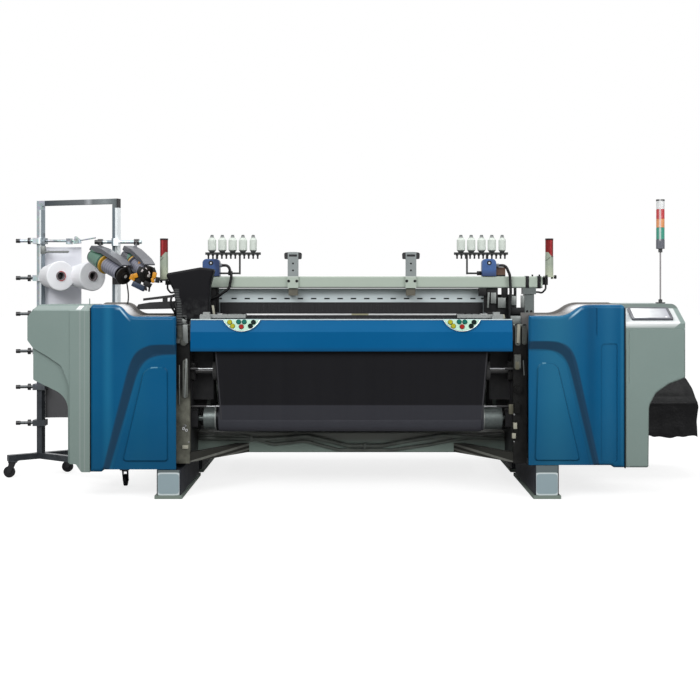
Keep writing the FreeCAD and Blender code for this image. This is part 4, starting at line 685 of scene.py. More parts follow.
def coneFinish():
    paint = Paint("coneYarn", Roughness=0.8, Sheen_Weight=0.2)
    x, y, z = paint.place
    fuzz = paint.noise(160.0, 4.0, 0.6)
    tones, grooves = [], []
    for turn, face in ((37, (-1.922, -0.232)), (44, (-1.711, -0.232))):
        back = Vector((-math.sin(math.radians(turn)), math.cos(math.radians(turn)), 0))
        along = (x - face[0]) * back.x + (y - face[1]) * back.y
        side = (x - face[0]) * back.y - (y - face[1]) * back.x
        up = z - coneHeight
        radius = (side * side + up * up).power(0.5)
        crossing = (along * 2600.0 + radius * 1400.0).wave() * (along * 900.0 - side * 700.0).wave() * 0.5 + 0.5
        rings = (radius * 1500.0).wave() * 0.5 + 0.5
        flat = along < 0.0015
        winding = crossing * (1 - flat) + rings * flat
        rim = (radius > 0.029) * (side > -0.012) * (1 if turn == 37 else 0)
        red = rim.mix(fuzz.mix((0.13, 0.11, 0.12), (0.26, 0.22, 0.23)), (0.5, 0.04, 0.04))
        yarn = (winding * 0.3 + fuzz * 0.35).mix((0.86, 0.87, 0.91), (0.97, 0.98, 0.99))
        tones.append((radius < 0.0335).mix(yarn, red))
        grooves.append(winding)
    right = (x + 1.815) > (y + 0.232) * -0.85
    paint.set(Base_Color=right.mix(*tones))
    paint.bump((grooves[0] * (1 - right) + grooves[1] * right) * 0.6 + fuzz * 0.4, 0.0012)
    return paint


dress(bobbinFinish(), "bobbins")
dress(coneFinish(), "yarn_cones")


def separatorFinish():
    paint = Paint("separatorSheet")
    haze = paint.noise(4.0, 4.0, 0.6, (1, 1, 0.3))
    sheet = haze.mix((0.76, 0.77, 0.84), (0.86, 0.87, 0.92))
    low = paint.z.spread(0.75, 1.05, 1.0, 0.0)
    paint.set(Base_Color=low.mix(sheet, (0.085, 0.085, 0.09)), Roughness=haze * 0.2 + 0.28)
    paint.bump(haze, 0.002)
    return paint


dress(separatorFinish(), "yarn_separator")


def lampFinish():
    paint = Paint("lampFinish", Coat_Weight=0.1, Specular_IOR_Level=0.2)
    x, y, z = paint.place
    side = x.size()
    speck = paint.noise(90.0, 3.0)
    across = side - (x > 0) * 0.066 - 1.203
    lens = (z - across.spread(-0.018, 0.004, 0.026, 0.0)) > 1.4702
    cap = z > 1.5735
    barrel = (y < -0.4785) * (side > 1.169) * (z > 1.3215)
    # painted highlight: a lighter stripe down the middle of each red lens
    red = (across.soft(0.0, 0.009) * 0.6).mix(
        speck.mix((0.15, 0.0028, 0.0032), (0.235, 0.0052, 0.0056)), (0.55, 0.05, 0.06))
    arc = ((side - 1.229).size().power(2.0) + (z - 1.475).power(2.0)).power(0.5).band(0.03, 0.036) * (z < 1.464)
    body = speck.mix((0.264, 0.312, 0.248), (0.368, 0.416, 0.336)).under(
        (z.spread(1.36, 1.42, 0.7, 0.0), (0.46, 0.5, 0.37)), (arc * 0.7, (0.08, 0.088, 0.072)))
    paint.set(Base_Color=barrel.mix((0.008, 0.008, 0.0085), body).under(
        (z.band(1.464, 1.4702) * (across > 0.002), (0.08, 0.08, 0.072)), (lens, red),
        (cap, (0.0096, 0.0096, 0.0096))), Roughness=speck * 0.2 + 0.22)
    paint.bump((z * 1500.0).wave() * lens * (1 - cap), 0.0004)
    return paint


dress(lampFinish(), "signal_lamps")


def towerFinish():
    paint = Paint("towerFinish", Roughness=0.3, Coat_Weight=0.1, Specular_IOR_Level=0.2)
    x, z = paint.x, paint.z
    # bands of the column, as shares of its height
    stops = [(0.0, (0.016, 0.016, 0.0176)), (0.0405, (0.24, 0.224, 0.232)), (0.4915, (0.016, 0.0176, 0.02)),
             (0.526, (0.085, 0.09, 0.115)), (0.6145, (0.0032, 0.264, 0.176)), (0.7275, (0.704, 0.264, 0.08)),
             (0.8115, (0.496, 0.0096, 0.0176)), (0.9045, (0.704, 0.72, 0.72)), (0.984, (0.016, 0.016, 0.016))]
    streak = paint.noise(50.0, 3.0, 0.5, (1, 1, 0.05))
    bands = z.spread(1.17, 1.825).ramp(stops, "CONSTANT")
    # lit: painted highlight streak down the column
    lit = x.soft(1.938, 0.01) * z.spread(1.56, 1.57)
    paint.set(Base_Color=(streak * 0.14 + lit * 0.65).held().mix(bands, (0.736, 0.744, 0.736)),
              Roughness=streak * 0.2 + 0.15)
    paint.bump(streak, 0.0003)
    return paint


dress(towerFinish(), "tower_light")


def screenFinish():
    # bezel around glass that carries a painted reflection, in the console's own slope
    paint = Paint("screenFinish", Coat_Weight=0.5, Specular_IOR_Level=0.5)
    x, y, z = paint.place
    up, out = consoleAxes(y, z)
    up = up - 0.038
    left = 1.692
    glass = x.band(left + 0.016, left + 0.234) * up.band(0.014, 0.136) * (out < 0.0115)
    across = x.spread(left + 0.016, left + 0.234)
    mist = paint.noise(16.0)
    # glow: painted reflection on the glass, white at the left fading to grey
    glow = (across + mist * 0.35 - 0.35).held().mix((0.92, 0.95, 0.94), (0.22, 0.22, 0.28))
    corner = x.band(left + 0.206, left + 0.218) * up.band(0.022, 0.034) * glass
    frameTone = mist.mix((0.034, 0.037, 0.05), (0.06, 0.064, 0.08))
    paint.set(Base_Color=frameTone.under((glass, glow), (corner, (0.85, 0.85, 0.85))),
              Roughness=0.35 - glass * 0.2)
    return paint


dress(screenFinish(), "console_screen")
print("small parts finished")


# new pieces are finished by the same few steps
def addPiece(name, data, body="loom"):
    piece = bpy.data.objects.new(name, data)
    bpy.context.scene.collection.objects.link(piece)
    if body:
        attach(piece, body)
    return piece


def finishPiece(name, mesh, finish, body="loom", flat=40):
    bmesh.ops.recalc_face_normals(mesh, faces=mesh.faces)
    for face in mesh.faces:
        face.smooth = True
    data = bpy.data.meshes.new(name)
    mesh.to_mesh(data)
    mesh.free()
    data.set_sharp_from_angle(angle=math.radians(flat))
    data.materials.append(finish.material)
    return addPiece(name, data, body)


def addBlock(mesh, x, y, z, turn=0.0, soft=0.0):
    # a box between two x, y and z values, turned about its own middle in the front plane
    middle = Vector(((x[0] + x[1]) / 2, (y[0] + y[1]) / 2, (z[0] + z[1]) / 2))
    size = Matrix.Diagonal((abs(x[1] - x[0]), abs(y[1] - y[0]), abs(z[1] - z[0]), 1))
    spot = Matrix.Translation(middle) @ Matrix.Rotation(math.radians(turn), 4, "Y") @ size
    made = bmesh.ops.create_cube(mesh, size=1.0, matrix=spot)["verts"]
    if soft:
        edges = list({e for v in made for e in v.link_edges})
        bmesh.ops.bevel(mesh, geom=edges, offset=soft, segments=2, profile=0.5, affect="EDGES", material=-1)


def addRod(mesh, start, end, radius, sides=10):
    start, end = Vector(start), Vector(end)
    run = end - start
    spot = Matrix.Translation((start + end) / 2) @ run.to_track_quat("Z", "Y").to_matrix().to_4x4()
    return bmesh.ops.create_cone(mesh, cap_ends=True, segments=sides, radius1=radius, radius2=radius,
                                 depth=run.length, matrix=spot)["verts"]


def addBolt(mesh, x, y, z, radius, high=0.005):
    # hexagon head over a thin washer, on a face that looks to the front
    addRod(mesh, (x, y + 0.001, z), (x, y - 0.0012, z), radius * 1.5, 16)
    head = addRod(mesh, (x, y - 0.001, z), (x, y - high, z), radius * 1.05, 6)
    edges = {e for v in head for e in v.link_edges}
    edges = [e for e in edges if all(v.co.y < y - high + 0.0002 for v in e.verts)]
    bmesh.ops.bevel(mesh, geom=edges, offset=radius * 0.18, segments=1, profile=0.5, affect="EDGES",
                    material=-1)


def addRing(mesh, centre, normal, inner, outer, deep, steps=24):
    # a flat ring: one section spun round the normal
    normal = Vector(normal).normalized()
    side = normal.orthogonal().normalized()
    corners = [mesh.verts.new(Vector(centre) + side * r + normal * h) for r, h in
               ((inner, 0), (outer, 0), (outer, deep * 0.8), (outer - 0.0004, deep),
                (inner + 0.0004, deep), (inner, deep * 0.8))]
    section = [mesh.edges.new((corners[i], corners[(i + 1) % 6])) for i in range(6)]
    bmesh.ops.spin(mesh, geom=corners + section, cent=centre, axis=normal, angle=math.tau, steps=steps,
                   use_merge=True)


def buildBlocks(name, rows, finish, soft, body="loom"):
    # each row: x0, x1, z0, z1, front y, back y and, where it is turned, degrees
    mesh = bmesh.new()
    for x0, x1, z0, z1, y0, y1, *turn in rows:
        addBlock(mesh, (x0, x1), (y0, y1), (z0, z1), *turn, soft=soft)
    return finishPiece(name, mesh, finish, body)


# heald wires fill the frames between the openings, and dents fill the reed
healdSettings = {"count": 576, "half": 0.8515, "wireWide": 0.0025, "jitter": 0.0005, "low": 0.926,
                 "high": 1.1765,
                 "planes": (-0.374, -0.349, -0.324, -0.299), "offsets": (0.0, 0.5, 0.25, 0.25), "seed": 7}


def buildHealdWires(s, which, plane, finish):
    mesh = bmesh.new()
    dice = random.Random(s["seed"] + which)
    pitch = 2 * s["half"] / s["count"]
    # the rearmost row stands close enough to shut out the light behind
    wide, loose = (pitch * 1.02, 0.0) if which == 4 else (s["wireWide"], s["jitter"])
    for wire in range(s["count"]):
        x = -s["half"] + (wire + 0.25 + s["offsets"][which - 1]) * pitch + dice.uniform(-1, 1) * loose
        y = plane + dice.uniform(-1, 1) * 0.001
        addBlock(mesh, (x - wide / 2, x + wide / 2), (y - 0.0004, y + 0.0004), (s["low"], s["high"]))
    finishPiece("healdWires%d" % which, mesh, finish, "heald_frame_%d" % which)


def wireTone():
    paint = Paint("healdWireFinish", Metallic=0.3, Roughness=0.4)
    cell = paint.noise(260.0, 1.0, 0.5, (1, 0.4, 0.01))
    tone = (cell * 1.8 - 0.5).held().mix((0.0062, 0.0062, 0.0078), (0.034, 0.034, 0.038))
    eye = (paint.z - 1.072).size().spread(0.0, 0.012, 0.5, 0.0)
    paint.set(Base_Color=eye.mix(tone, (0.064, 0.064, 0.068)))
    return paint


healdFinish = wireTone()
for number, plane in enumerate(healdSettings["planes"], 1):
    buildHealdWires(healdSettings, number, plane, healdFinish)

reedSettings = {"half": 0.85, "count": 480, "halfDent": 0.0005, "deep": (-0.5638, -0.5575),
                "high": (1.05, 1.0925)}


def buildReedDents(s):
    # thin dents that stand in the reed just behind its wall
    mesh = bmesh.new()
    for dent in range(s["count"]):
        x = -s["half"] + (dent + 0.5) * 2 * s["half"] / s["count"]
        addBlock(mesh, (x - s["halfDent"], x + s["halfDent"]), s["deep"], s["high"])
    finishPiece("reedDents", mesh, healdFinish, "sley")


buildReedDents(reedSettings)
# a dark strip behind the row of slots in the first frame stands in for the shade seen through them
buildBlocks("slotStrip", [(-0.842, 0.842, 1.186, 1.211, -0.3682, -0.366)], rubber, 0.0005, "heald_frame_1")
print("heald wires and reed dents built")


# the warp: a sheet that runs level from the cloth to the back rest and down to the beam
warpSettings = {"half": 0.85, "strips": 48, "gap": 0.005, "yarns": 8, "ridge": 0.0003, "level": 1.0708,
                "fell": -0.64, "combEnd": -0.25, "restCentre": (0.7, 1.0095), "restRadius": 0.0612, "low": 0.5}


def arc(centre, radius, side, step, count):
    # points in y and z, from the top of a circle to one side
    angles = [math.radians(step * i) for i in range(1, count + 1)]
    return [(centre[0] + side * radius * math.sin(a), centre[1] + radius * math.cos(a)) for a in angles]


def buildWarp(s, finish):
    mesh = bmesh.new()
    cy, cz = s["restCentre"]
    path = [(s["fell"], s["level"]), (s["combEnd"], s["level"]), (cy, cz + s["restRadius"])]
    path += arc(s["restCentre"], s["restRadius"], 1, 9, 10) + [(cy + s["restRadius"], s["low"])]
    pitch = 2 * s["half"] / s["strips"]
    stations = []
    for strip in range(s["strips"]):
        left = -s["half"] + strip * pitch
        inner = left + (s["gap"] / 2 if strip else 0)
        outer = left + pitch - (s["gap"] / 2 if strip < s["strips"] - 1 else 0)
        for half in range(2 * s["yarns"] + 1):
            lift = s["ridge"] if half % 2 else 0.0
            stations.append((inner + (outer - inner) * half / (2 * s["yarns"]), lift, strip))
    rows = []
    for number, (y, z) in enumerate(path):
        before, after = path[max(number - 1, 0)], path[min(number + 1, len(path) - 1)]
        run = Vector((0, after[0] - before[0], after[1] - before[1])).normalized()
        out = Vector((0, -run.z, run.y))
        rows.append([mesh.verts.new(Vector((x, y, z)) + out * lift) for x, lift, _ in stations])
    for first, second in zip(rows, rows[1:]):
        comb = second[0].co.y <= s["combEnd"] + 0.001
        for i in range(len(stations) - 1):
            if not comb or stations[i][2] == stations[i + 1][2]:
                mesh.faces.new((first[i], first[i + 1], second[i + 1], second[i]))
    piece = finishPiece("warpYarns", mesh, finish)
    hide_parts("warp_sheet")


def warpFinish():
    paint = Paint("warpYarnFinish", Specular_IOR_Level=0.15)
    threads = (paint.x * 3300.0).wave() * 0.5 + 0.5
    shade = paint.noise(300.0, 2.0, 0.5, (1, 0.01, 0.01))
    paint.set(Base_Color=(threads * 0.5 + shade * 0.4).mix((0.008, 0.008, 0.0096), (0.036, 0.036, 0.0416)),
              Roughness=shade * 0.2 + 0.45)
    paint.bump(threads, 0.0004)
    return paint


buildWarp(warpSettings, warpFinish())


# the woven cloth: over the breast beam, round the take-up and down to its roller
clothSettings = {"path": [(-0.64, 1.0708), (-0.735, 1.0708), (-0.825, 1.0708)], "bendCentre": (-0.825, 1.045),
                 "bend": 0.0258, "halfTop": 0.8455, "halfLow": 0.806, "columns": 24, "narrowFrom": 0.22,
                 "tail": [(-0.8508, 1.0), (-0.8508, 0.934), (-0.82, 0.757), (-0.802, 0.609), (-0.7835, 0.46)]}


def buildCloth(s, finish):
    mesh = bmesh.new()
    path = s["path"] + arc(s["bendCentre"], s["bend"], -1, 15, 6) + s["tail"]
    run = [0.0]
    for first, second in zip(path, path[1:]):
        run.append(run[-1] + math.dist(first, second))
    rows = []
    for (y, z), along in zip(path, run):
        narrow = max(along - s["narrowFrom"], 0) / (run[-1] - s["narrowFrom"])
        half = s["halfTop"] + (s["halfLow"] - s["halfTop"]) * narrow
        rows.append([mesh.verts.new((half * (2 * i / s["columns"] - 1), y,
                                     z)) for i in range(s["columns"] + 1)])
    layer = mesh.loops.layers.uv.new("clothMap")
    for r in range(len(rows) - 1):
        for c in range(s["columns"]):
            places = ((c, r), (c + 1, r), (c + 1, r + 1), (c, r + 1))
            face = mesh.faces.new([rows[j][i] for i, j in places])
            for loop, (i, j) in zip(face.loops, places):
                loop[layer].uv = (i / s["columns"], run[j] / run[-1])
    piece = finishPiece("wovenCloth", mesh, finish)
    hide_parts("cloth_sheet")


def clothFinish():
    paint = Paint("wovenClothFinish", Specular_IOR_Level=0.1)
    flat = paint.node("ShaderNodeUVMap", {"uv_map": "clothMap"}).out(0)
    parts = paint.node("ShaderNodeSeparateXYZ", {}, {0: flat})
    u, v = parts.out(0), parts.out(1)
    weave = (u * 7600.0).wave() * (v * 3600.0).wave() * 0.5 + 0.5
    streak = paint.noise(40.0, 3.0, 0.5, (1, 0.02, 0.02))
    selvedge = (u - 0.5).size().band(0.4935, 0.4975)
    share = weave * 0.35 + streak * 0.45
    onRoll = paint.z.spread(0.546, 0.552, 1.0, 0.0)
    dark = share.mix((0.0068, 0.0068, 0.0084), (0.0144, 0.0144, 0.0168))
    wound = share.mix((0.027, 0.0275, 0.034), (0.038, 0.039, 0.046))
    paint.set(Base_Color=dark.under((onRoll, wound), (selvedge, (0.044, 0.044, 0.048))),
              Roughness=streak * 0.2 + 0.5)
    paint.bump(weave, 0.00015)
    return paint


buildCloth(clothSettings, clothFinish())


# the dust cover over the shedding unit: a draped sheet with folds, over a plain unit
dustSettings = {"left": 1.6, "front": -0.19, "back": 0.45, "fold": 0.505,
                "top": [(0, 0.745), (0.35, 0.752), (0.7, 0.755), (0.88, 0.737), (1, 0.7)],
                "right": [(0, 2.316), (0.25, 2.31), (0.5, 2.319), (0.62, 2.308), (0.8, 2.284), (0.93, 2.256),
                          (1, 2.232)],
                "hem": [(0, 0.262), (0.08, 0.27), (0.16, 0.264), (0.28, 0.281), (0.42, 0.268), (0.54, 0.279),
                        (0.66, 0.266), (0.8, 0.27), (0.9, 0.281), (1, 0.276)]}


def between(table, place):
    for (a, va), (b, vb) in zip(table, table[1:]):
        if place <= b:
            return va + (vb - va) * (place - a) / (b - a)
    return table[-1][1]


def smoothly(t):
    t = min(max(t, 0.0), 1.0)
    return t * t * (3 - 2 * t)


def rough(x, y, z):
    return noise.noise(Vector((x, y, z)))


def buildDustCover(s, finish):
    mesh = bmesh.new()
    bmesh.ops.create_cube(mesh, size=1.0, matrix=Matrix.Translation((0.5, 0.5, 0.5)))
    bmesh.ops.subdivide_edges(mesh, edges=mesh.edges[:], cuts=47, use_grid_fill=True)
    gone = [f for f in mesh.faces if f.calc_center_median().z < 0.0001 or f.calc_center_median().x < 0.0001]
    bmesh.ops.delete(mesh, geom=gone, context="FACES")
    for vert in mesh.verts:
        a, b, c = vert.co
        top = between(s["top"], a)
        low = between(s["hem"], a) + 0.02 * rough(a * 11, b * 11, 3.3) + 0.007 * math.sin(a * 41 + b * 29)
        turned = smoothly((a - 0.86) / 0.14)
        front = s["front"] + 0.03 * turned
        back = s["back"] - 0.05 * turned
        x = s["left"] + (between(s["right"], c) - s["left"]) * a
        y = front + (back - front) * b
        z = low + (top - low) * c
        lean = smoothly((z - s["fold"]) / 0.05) * 0.022 + smoothly((z - 0.56) / 0.2) * 0.05
        y += lean * (1 - b) - lean * b * 0.8
        z -= 0.022 * (abs(b - 0.5) * 2) ** 3 * c
        wave = rough(x * 7, b * 4.2, 1.7) * 0.7 + rough(x * 19, b * 11, z * 1.2) * 0.3
        push = abs(0.02 * (1 - c) * wave + 0.005 * rough(x * 6, y * 6, z * 9))
        if b < 0.02:
            y += push * 0.9 - 0.006 * math.exp(-((z - s["fold"]) / 0.012) ** 2)
        if b > 0.98:
            y -= push * 0.9
        if a > 0.98:
            x -= push * 0.8
        if c > 0.98:
            z += 0.006 * rough(x * 8, y * 8, 0.4) - 0.004
        vert.co = (x, y, z)
    bmesh.ops.smooth_vert(mesh, verts=mesh.verts[:], factor=0.35, use_axis_x=True, use_axis_y=True,
                          use_axis_z=True)
    piece = finishPiece("dustCover", mesh, finish, flat=75)
    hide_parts("shedding_unit")


def dustFinish():
    paint = Paint("dustCoverFinish", Specular_IOR_Level=0.15)
    crumple = paint.noise(9.0, 5.0, 0.6)
    fine = paint.noise(60.0, 4.0, 0.6)
    tone = crumple.mix((0.0032, 0.0032, 0.0036), (0.0112, 0.0112, 0.0124))
    mottle = (crumple * 1.8 - 0.5).held().mix((0.0064, 0.0064, 0.0072), (0.0288, 0.0296, 0.0304))
    paint.set(Base_Color=paint.z.spread(0.5, 0.52).mix(tone, mottle), Roughness=crumple * 0.3 + 0.32)
    paint.bump(crumple * 0.7 + fine * 0.3, 0.006)
    return paint


buildBlocks("coveredUnit", [(1.6, 2.225, 0.3, 0.64, -0.115, 0.375), (1.62, 2.15, 0.632, 0.716, -0.06, 0.32)],
            castPaint("unitPaint", (0.1, 0.11, 0.11)), 0.02)
buildDustCover(dustSettings, dustFinish())
print("warp, cloth and dust cover built")


# dark bolts on the girder pillars and stands, with small studs, strips on the pillars and brackets under the
# lamps
boltSettings = {"pillar": [(-0.402, 1.312), (-0.35, 1.312), (0.354, 1.312), (0.406, 1.312)],
                "stand": [(1.1265, 1.118), (1.152, 1.118)], "pillarStrips": (-0.374, 0.3808),
                "lamps": [(-1.203, 1.3215), (1.269, 1.3455)], "studs": (1.162, 1.207),
                "temple": (-0.76, -0.665, 0.738, 0.779, 0.7, -0.83)}


def buildBolts(s):
    mesh = bmesh.new()
    for x, z in s["pillar"]:
        addBolt(mesh, x, -0.4862, z, 0.0062, 0.004)
    for x, z in s["stand"]:
        addBolt(mesh, x, -0.4702, z, 0.005)
    for x in s["temple"]:
        addRod(mesh, (x, -0.78, 1.1), (x, -0.78, 1.116), 0.0065, 12)
    for x in s["pillarStrips"]:
        addBlock(mesh, (x - 0.014, x + 0.014), (-0.47, -0.4665), (1.35, 1.445), soft=0.001)
    for x, low in s["lamps"]:
        for side in (-1, 1):
            addBlock(mesh, (x + side * 0.02, x + side * 0.036), (-0.5335, -0.512), (low - 0.02, low + 0.004),
                     soft=0.005)
    for x in s["studs"]:
        addRod(mesh, (x, -0.455, 1.342), (x, -0.455, 1.354), 0.0055)
    finishPiece("darkBolts", mesh, rubber)


buildBolts(boltSettings)
# thin black seals in the grooves between the covers
buildBlocks("coverSeals", [(-1.5716, -1.5684, 0.185, 1.15, -0.946, -0.928),
                           (1.641, 1.647, 0.185, 1.15, -0.946, -0.928)], rubber, 0.0008)

# raised bezels round the push buttons
bezelSettings = {"centres": (-0.666, 0.671), "foot": (-0.88, 1.001), "tilt": panelTilt, "proud": 0.014,
                 "places": [(-72, 58), (-54, 34), (-18, 60), (16, 60), (-1, 30), (72, 58), (54, 34)]}


def buildBezels(s, finish):
    mesh = bmesh.new()
    up = Vector((0, math.sin(s["tilt"]), math.cos(s["tilt"])))
    out = Vector((0, -math.cos(s["tilt"]), math.sin(s["tilt"])))
    for centre in s["centres"]:
        for across, rise in s["places"]:
            middle = Vector((centre + across / 1000, *s["foot"])) + up * rise / 1000 + out * s["proud"]
            addRing(mesh, middle, out, 0.0138, 0.0158, 0.0018)
    finishPiece("buttonBezels", mesh, finish)


buildBezels(bezelSettings, glossMoulding("bezelFinish", (0.02, 0.06, 0.045), 0.35))


# bright rods and dark collars of the take-up, seen at both sides of the cloth
# each row: inner x, outer x, y, z, radius
takeupSettings = {
    "takeupRods": (steel, [(0.846, 0.944, -0.822, 0.775, 0.0045), (0.812, 0.896, -0.79, 0.542, 0.004)]),
    "takeupCollars": (darkSteel, [(0.938, 0.985, -0.822, 0.775, 0.009), (0.89, 0.985, -0.79, 0.542, 0.007)])}
for name, (finish, rods) in takeupSettings.items():
    mesh = bmesh.new()
    for side in (-1, 1):
        for inner, outer, y, z, radius in rods:
            addRod(mesh, (side * inner, y, z), (side * outer, y, z), radius, 12)
    finishPiece(name, mesh, finish)


# flanges beside the wound cloth, turning with its roller
def buildRollFlanges():
    mesh = bmesh.new()
    for x, radius in ((-0.8425, 0.0795), (0.8145, 0.0745)):
        addRing(mesh, (x, -0.7, 0.46), (1, 0, 0), 0.0675, radius, 0.0075, 40)
    finishPiece("rollFlanges", mesh, wornZinc, "cloth_roller")


# thick pegs under the bobbin racks, sleeves on their arms and eyes on the drives
def buildRackPegs():
    pegs, eyes = bmesh.new(), bmesh.new()
    for first, gap in ((-0.921, 0.02882), (0.68, 0.028)):
        for peg in range(12):
            x = first + peg * gap
            addRod(pegs, (x, -0.437, 1.4812), (x, -0.437, 1.455), 0.0056, 8)
            addRod(pegs, (x, -0.437, 1.4885), (x, -0.437, 1.4755), 0.0085, 8)
    for x in (-0.78, 0.822):
        addBlock(pegs, (x - 0.014, x + 0.014), (-0.4455, -0.4245), (1.349, 1.376), soft=0.002)
    for x in (-0.9, 0.8825):
        addRing(pegs, (x, -0.4785, 1.428), (0, -1, 0), 0.0062, 0.015, 0.003)
        addRod(eyes, (x, -0.474, 1.428), (x, -0.4795, 1.428), 0.0066, 20)
    finishPiece("rackPegs", pegs, rubber)
    finishPiece("driveEyes", eyes, glossMoulding("driveEyeFinish", (0.8, 0.82, 0.84), 0.35))


wornZinc = turnedSteel("wornZinc", (0.216, 0.232, 0.224), (1, 1, 0.3), 0.42, 0.4)
buildRollFlanges()
buildRackPegs()
print("bolts, seals, bezels and rods built")


# small hardware at both ends of the cloth and under the girder, and trim of the feeders
hardware = {
    "steelHardware": [
        (-1.0585, -1.039, 0.932, 1.046, -0.864, -0.849, 6),
        (-1.0245, -0.9935, 0.932, 1.046, -0.866, -0.849, -2),
        (-1.05, -1.03, 1.073, 1.108, -0.864, -0.849, -12), (-1.034, -1.006, 1.052, 1.078, -0.864, -0.849, 20),
        (-1.013, -1.003, 0.6, 0.838, -0.862, -0.849, 2.6), (-1.05, -1.044, 0.56, 0.8, -0.856, -0.849),
        (1.04, 1.058, 0.93, 1.042, -0.862, -0.849, -5), (1.044, 1.052, 0.736, 0.828, -0.856, -0.849, -4),
        (0.894, 0.928, 1.168, 1.238, -0.468, -0.462), (0.872, 0.884, 1.14, 1.24, -0.468, -0.46, 3),
        (0.94, 0.99, 1.14, 1.206, -0.466, -0.462), (1.01, 1.056, 1.156, 1.218, -0.466, -0.46),
        (1.086, 1.11, 1.142, 1.22, -0.468, -0.452), (1.002, 1.064, 1.038, 1.092, -0.612, -0.59)],
    "creamHardware": [
        (1.006, 1.024, 0.932, 1.048, -0.866, -0.849, 3), (-0.864, -0.85, 1.083, 1.16, -0.7, -0.692, -8),
        (0.984, 1.006, 0.412, 0.45, -0.868, -0.845), (0.976, 0.998, 0.354, 0.386, -0.868, -0.845),
        (-1.028, -0.992, 0.29, 0.312, -0.862, -0.849), (0.9, 0.962, 1.07, 1.096, -0.64, -0.62, -12)],
    "oliveHardware": [(0.992, 1.016, 0.775, 0.822, -0.892, -0.849), (0.958, 0.986, 0.5, 0.56, -0.85, -0.836)],
    "darkHardware": [
        (0.85, 0.942, 1.112, 1.268, -0.446, -0.44), (0.964, 1.006, 1.066, 1.268, -0.446, -0.44),
        (1.0, 1.062, 1.066, 1.226, -0.446, -0.44), (0.942, 0.966, 1.066, 1.206, -0.446, -0.44),
        (0.872, 0.944, 1.066, 1.116, -0.446, -0.44), (1.056, 1.112, 1.066, 1.14, -0.45, -0.44),
        (0.815, 0.864, 1.216, 1.268, -0.468, -0.45), (0.969, 0.998, 1.204, 1.268, -0.467, -0.455),
        (1.041, 1.059, 1.216, 1.268, -0.467, -0.456), (1.006, 1.112, 1.1, 1.142, -0.47, -0.45),
        (-0.985, -0.872, 1.066, 1.268, -0.446, -0.44), (-0.874, -0.852, 1.112, 1.268, -0.446, -0.44),
        (1.116, 1.138, 1.264, 1.3445, -0.4735, -0.396), (1.192, 1.214, 1.264, 1.3445, -0.4735, -0.396)]}
feederTrim = {
    "amberFeederTrim": [
        (-1.388, -1.352, 1.316, 1.35, -0.652, -0.616, 24), (-1.366, -1.336, 1.33, 1.36, -0.664, -0.64, -18),
        (-1.243, -1.219, 1.328, 1.366, -0.672, -0.648, 12), (-1.25, -1.232, 1.3, 1.33, -0.672, -0.65, -10),
        (-1.347, -1.322, 1.402, 1.446, -0.585, -0.545, 20)],
    "slateFeederTrim": [(-1.376, -1.292, 1.262, 1.296, -0.655, -0.61, 26)],
    "blackFeederTrim": [
        (-1.394, -1.38, 1.33, 1.396, -0.64, -0.618, -16), (-1.352, -1.316, 1.296, 1.336, -0.65, -0.62, 20),
        (-1.3, -1.252, 1.276, 1.306, -0.666, -0.63, 30), (-1.292, -1.28, 1.25, 1.29, -0.664, -0.65, -12),
        (-1.268, -1.258, 1.244, 1.29, -0.664, -0.65, 8), (-1.226, -1.2, 1.3, 1.336, -0.668, -0.645, 8),
        (-1.24, -1.226, 1.356, 1.396, -0.664, -0.644, -14), (-1.342, -1.306, 1.342, 1.4, -0.65, -0.6, 22)],
    "paleFeederTrim": [
        (-1.308, -1.298, 1.366, 1.384, -0.69, -0.684, 30), (-1.262, -1.254, 1.352, 1.372, -0.694, -0.688, -20),
        (-1.286, -1.27, 1.386, 1.392, -0.69, -0.684, 40)]}

hardwareFinishes = (wornZinc, castPaint("creamLeverPaint", (0.336, 0.328, 0.264), 0.4, 0.6),
                    castPaint("oliveCastPaint", (0.104, 0.1, 0.072), 0.6, 0.4), rubber)
for (name, rows), finish in zip(hardware.items(), hardwareFinishes):
    buildBlocks(name, rows, finish, 0.0018)


# small rings, a threaded rod and the hose loops
def buildSmallRounds():
    mesh = bmesh.new()
    for x, z, radius in ((1.0285, 0.6471, 0.0028), (0.9905, 0.498, 0.0036), (0.9905, 0.3562, 0.0032),
                         (0.99, 0.3331, 0.003), (-0.99, 0.331, 0.0032), (-1.013, 0.705, 0.003)):
        addBolt(mesh, x, -0.85, z, radius, 0.006)
    for x, z, tilt in ((-1.022, 0.412, 0.3), (-1.012, 0.428, -0.3), (-1.004, 0.402, 0.1)):
        addRing(mesh, (x, -0.852, z), (tilt, -1, 0.2), 0.0045, 0.0085, 0.004, 16)
    finishPiece("smallRounds", mesh, steel)


def buildThreadedRod():
    # a threaded rod in front of the separator, held by a clamp on the post
    mesh = bmesh.new()
    addRod(mesh, (-2.08, -0.088, 1.51), (-1.904, -0.088, 1.512), 0.0045)
    for turn in range(16):
        x = -2.056 + turn * 0.0095
        addRod(mesh, (x, -0.088, 1.5102), (x + 0.0048, -0.088, 1.5102), 0.0085)
    addBlock(mesh, (-2.094, -2.064), (-0.097, -0.06), (1.496, 1.55), soft=0.003)
    finishPiece("threadedRod", mesh, wornZinc)


buildSmallRounds()
buildThreadedRod()
trimFinishes = (glossMoulding("amberGuide", (0.62, 0.27, 0.02), 0.35),
                glossMoulding("slateBracket", (0.03, 0.046, 0.08), 0.4), rubber,
                glossMoulding("paleMark", (0.6, 0.55, 0.55), 0.4))
for (name, rows), finish in zip(feederTrim.items(), trimFinishes):
    buildBlocks(name, rows, finish, 0.003)

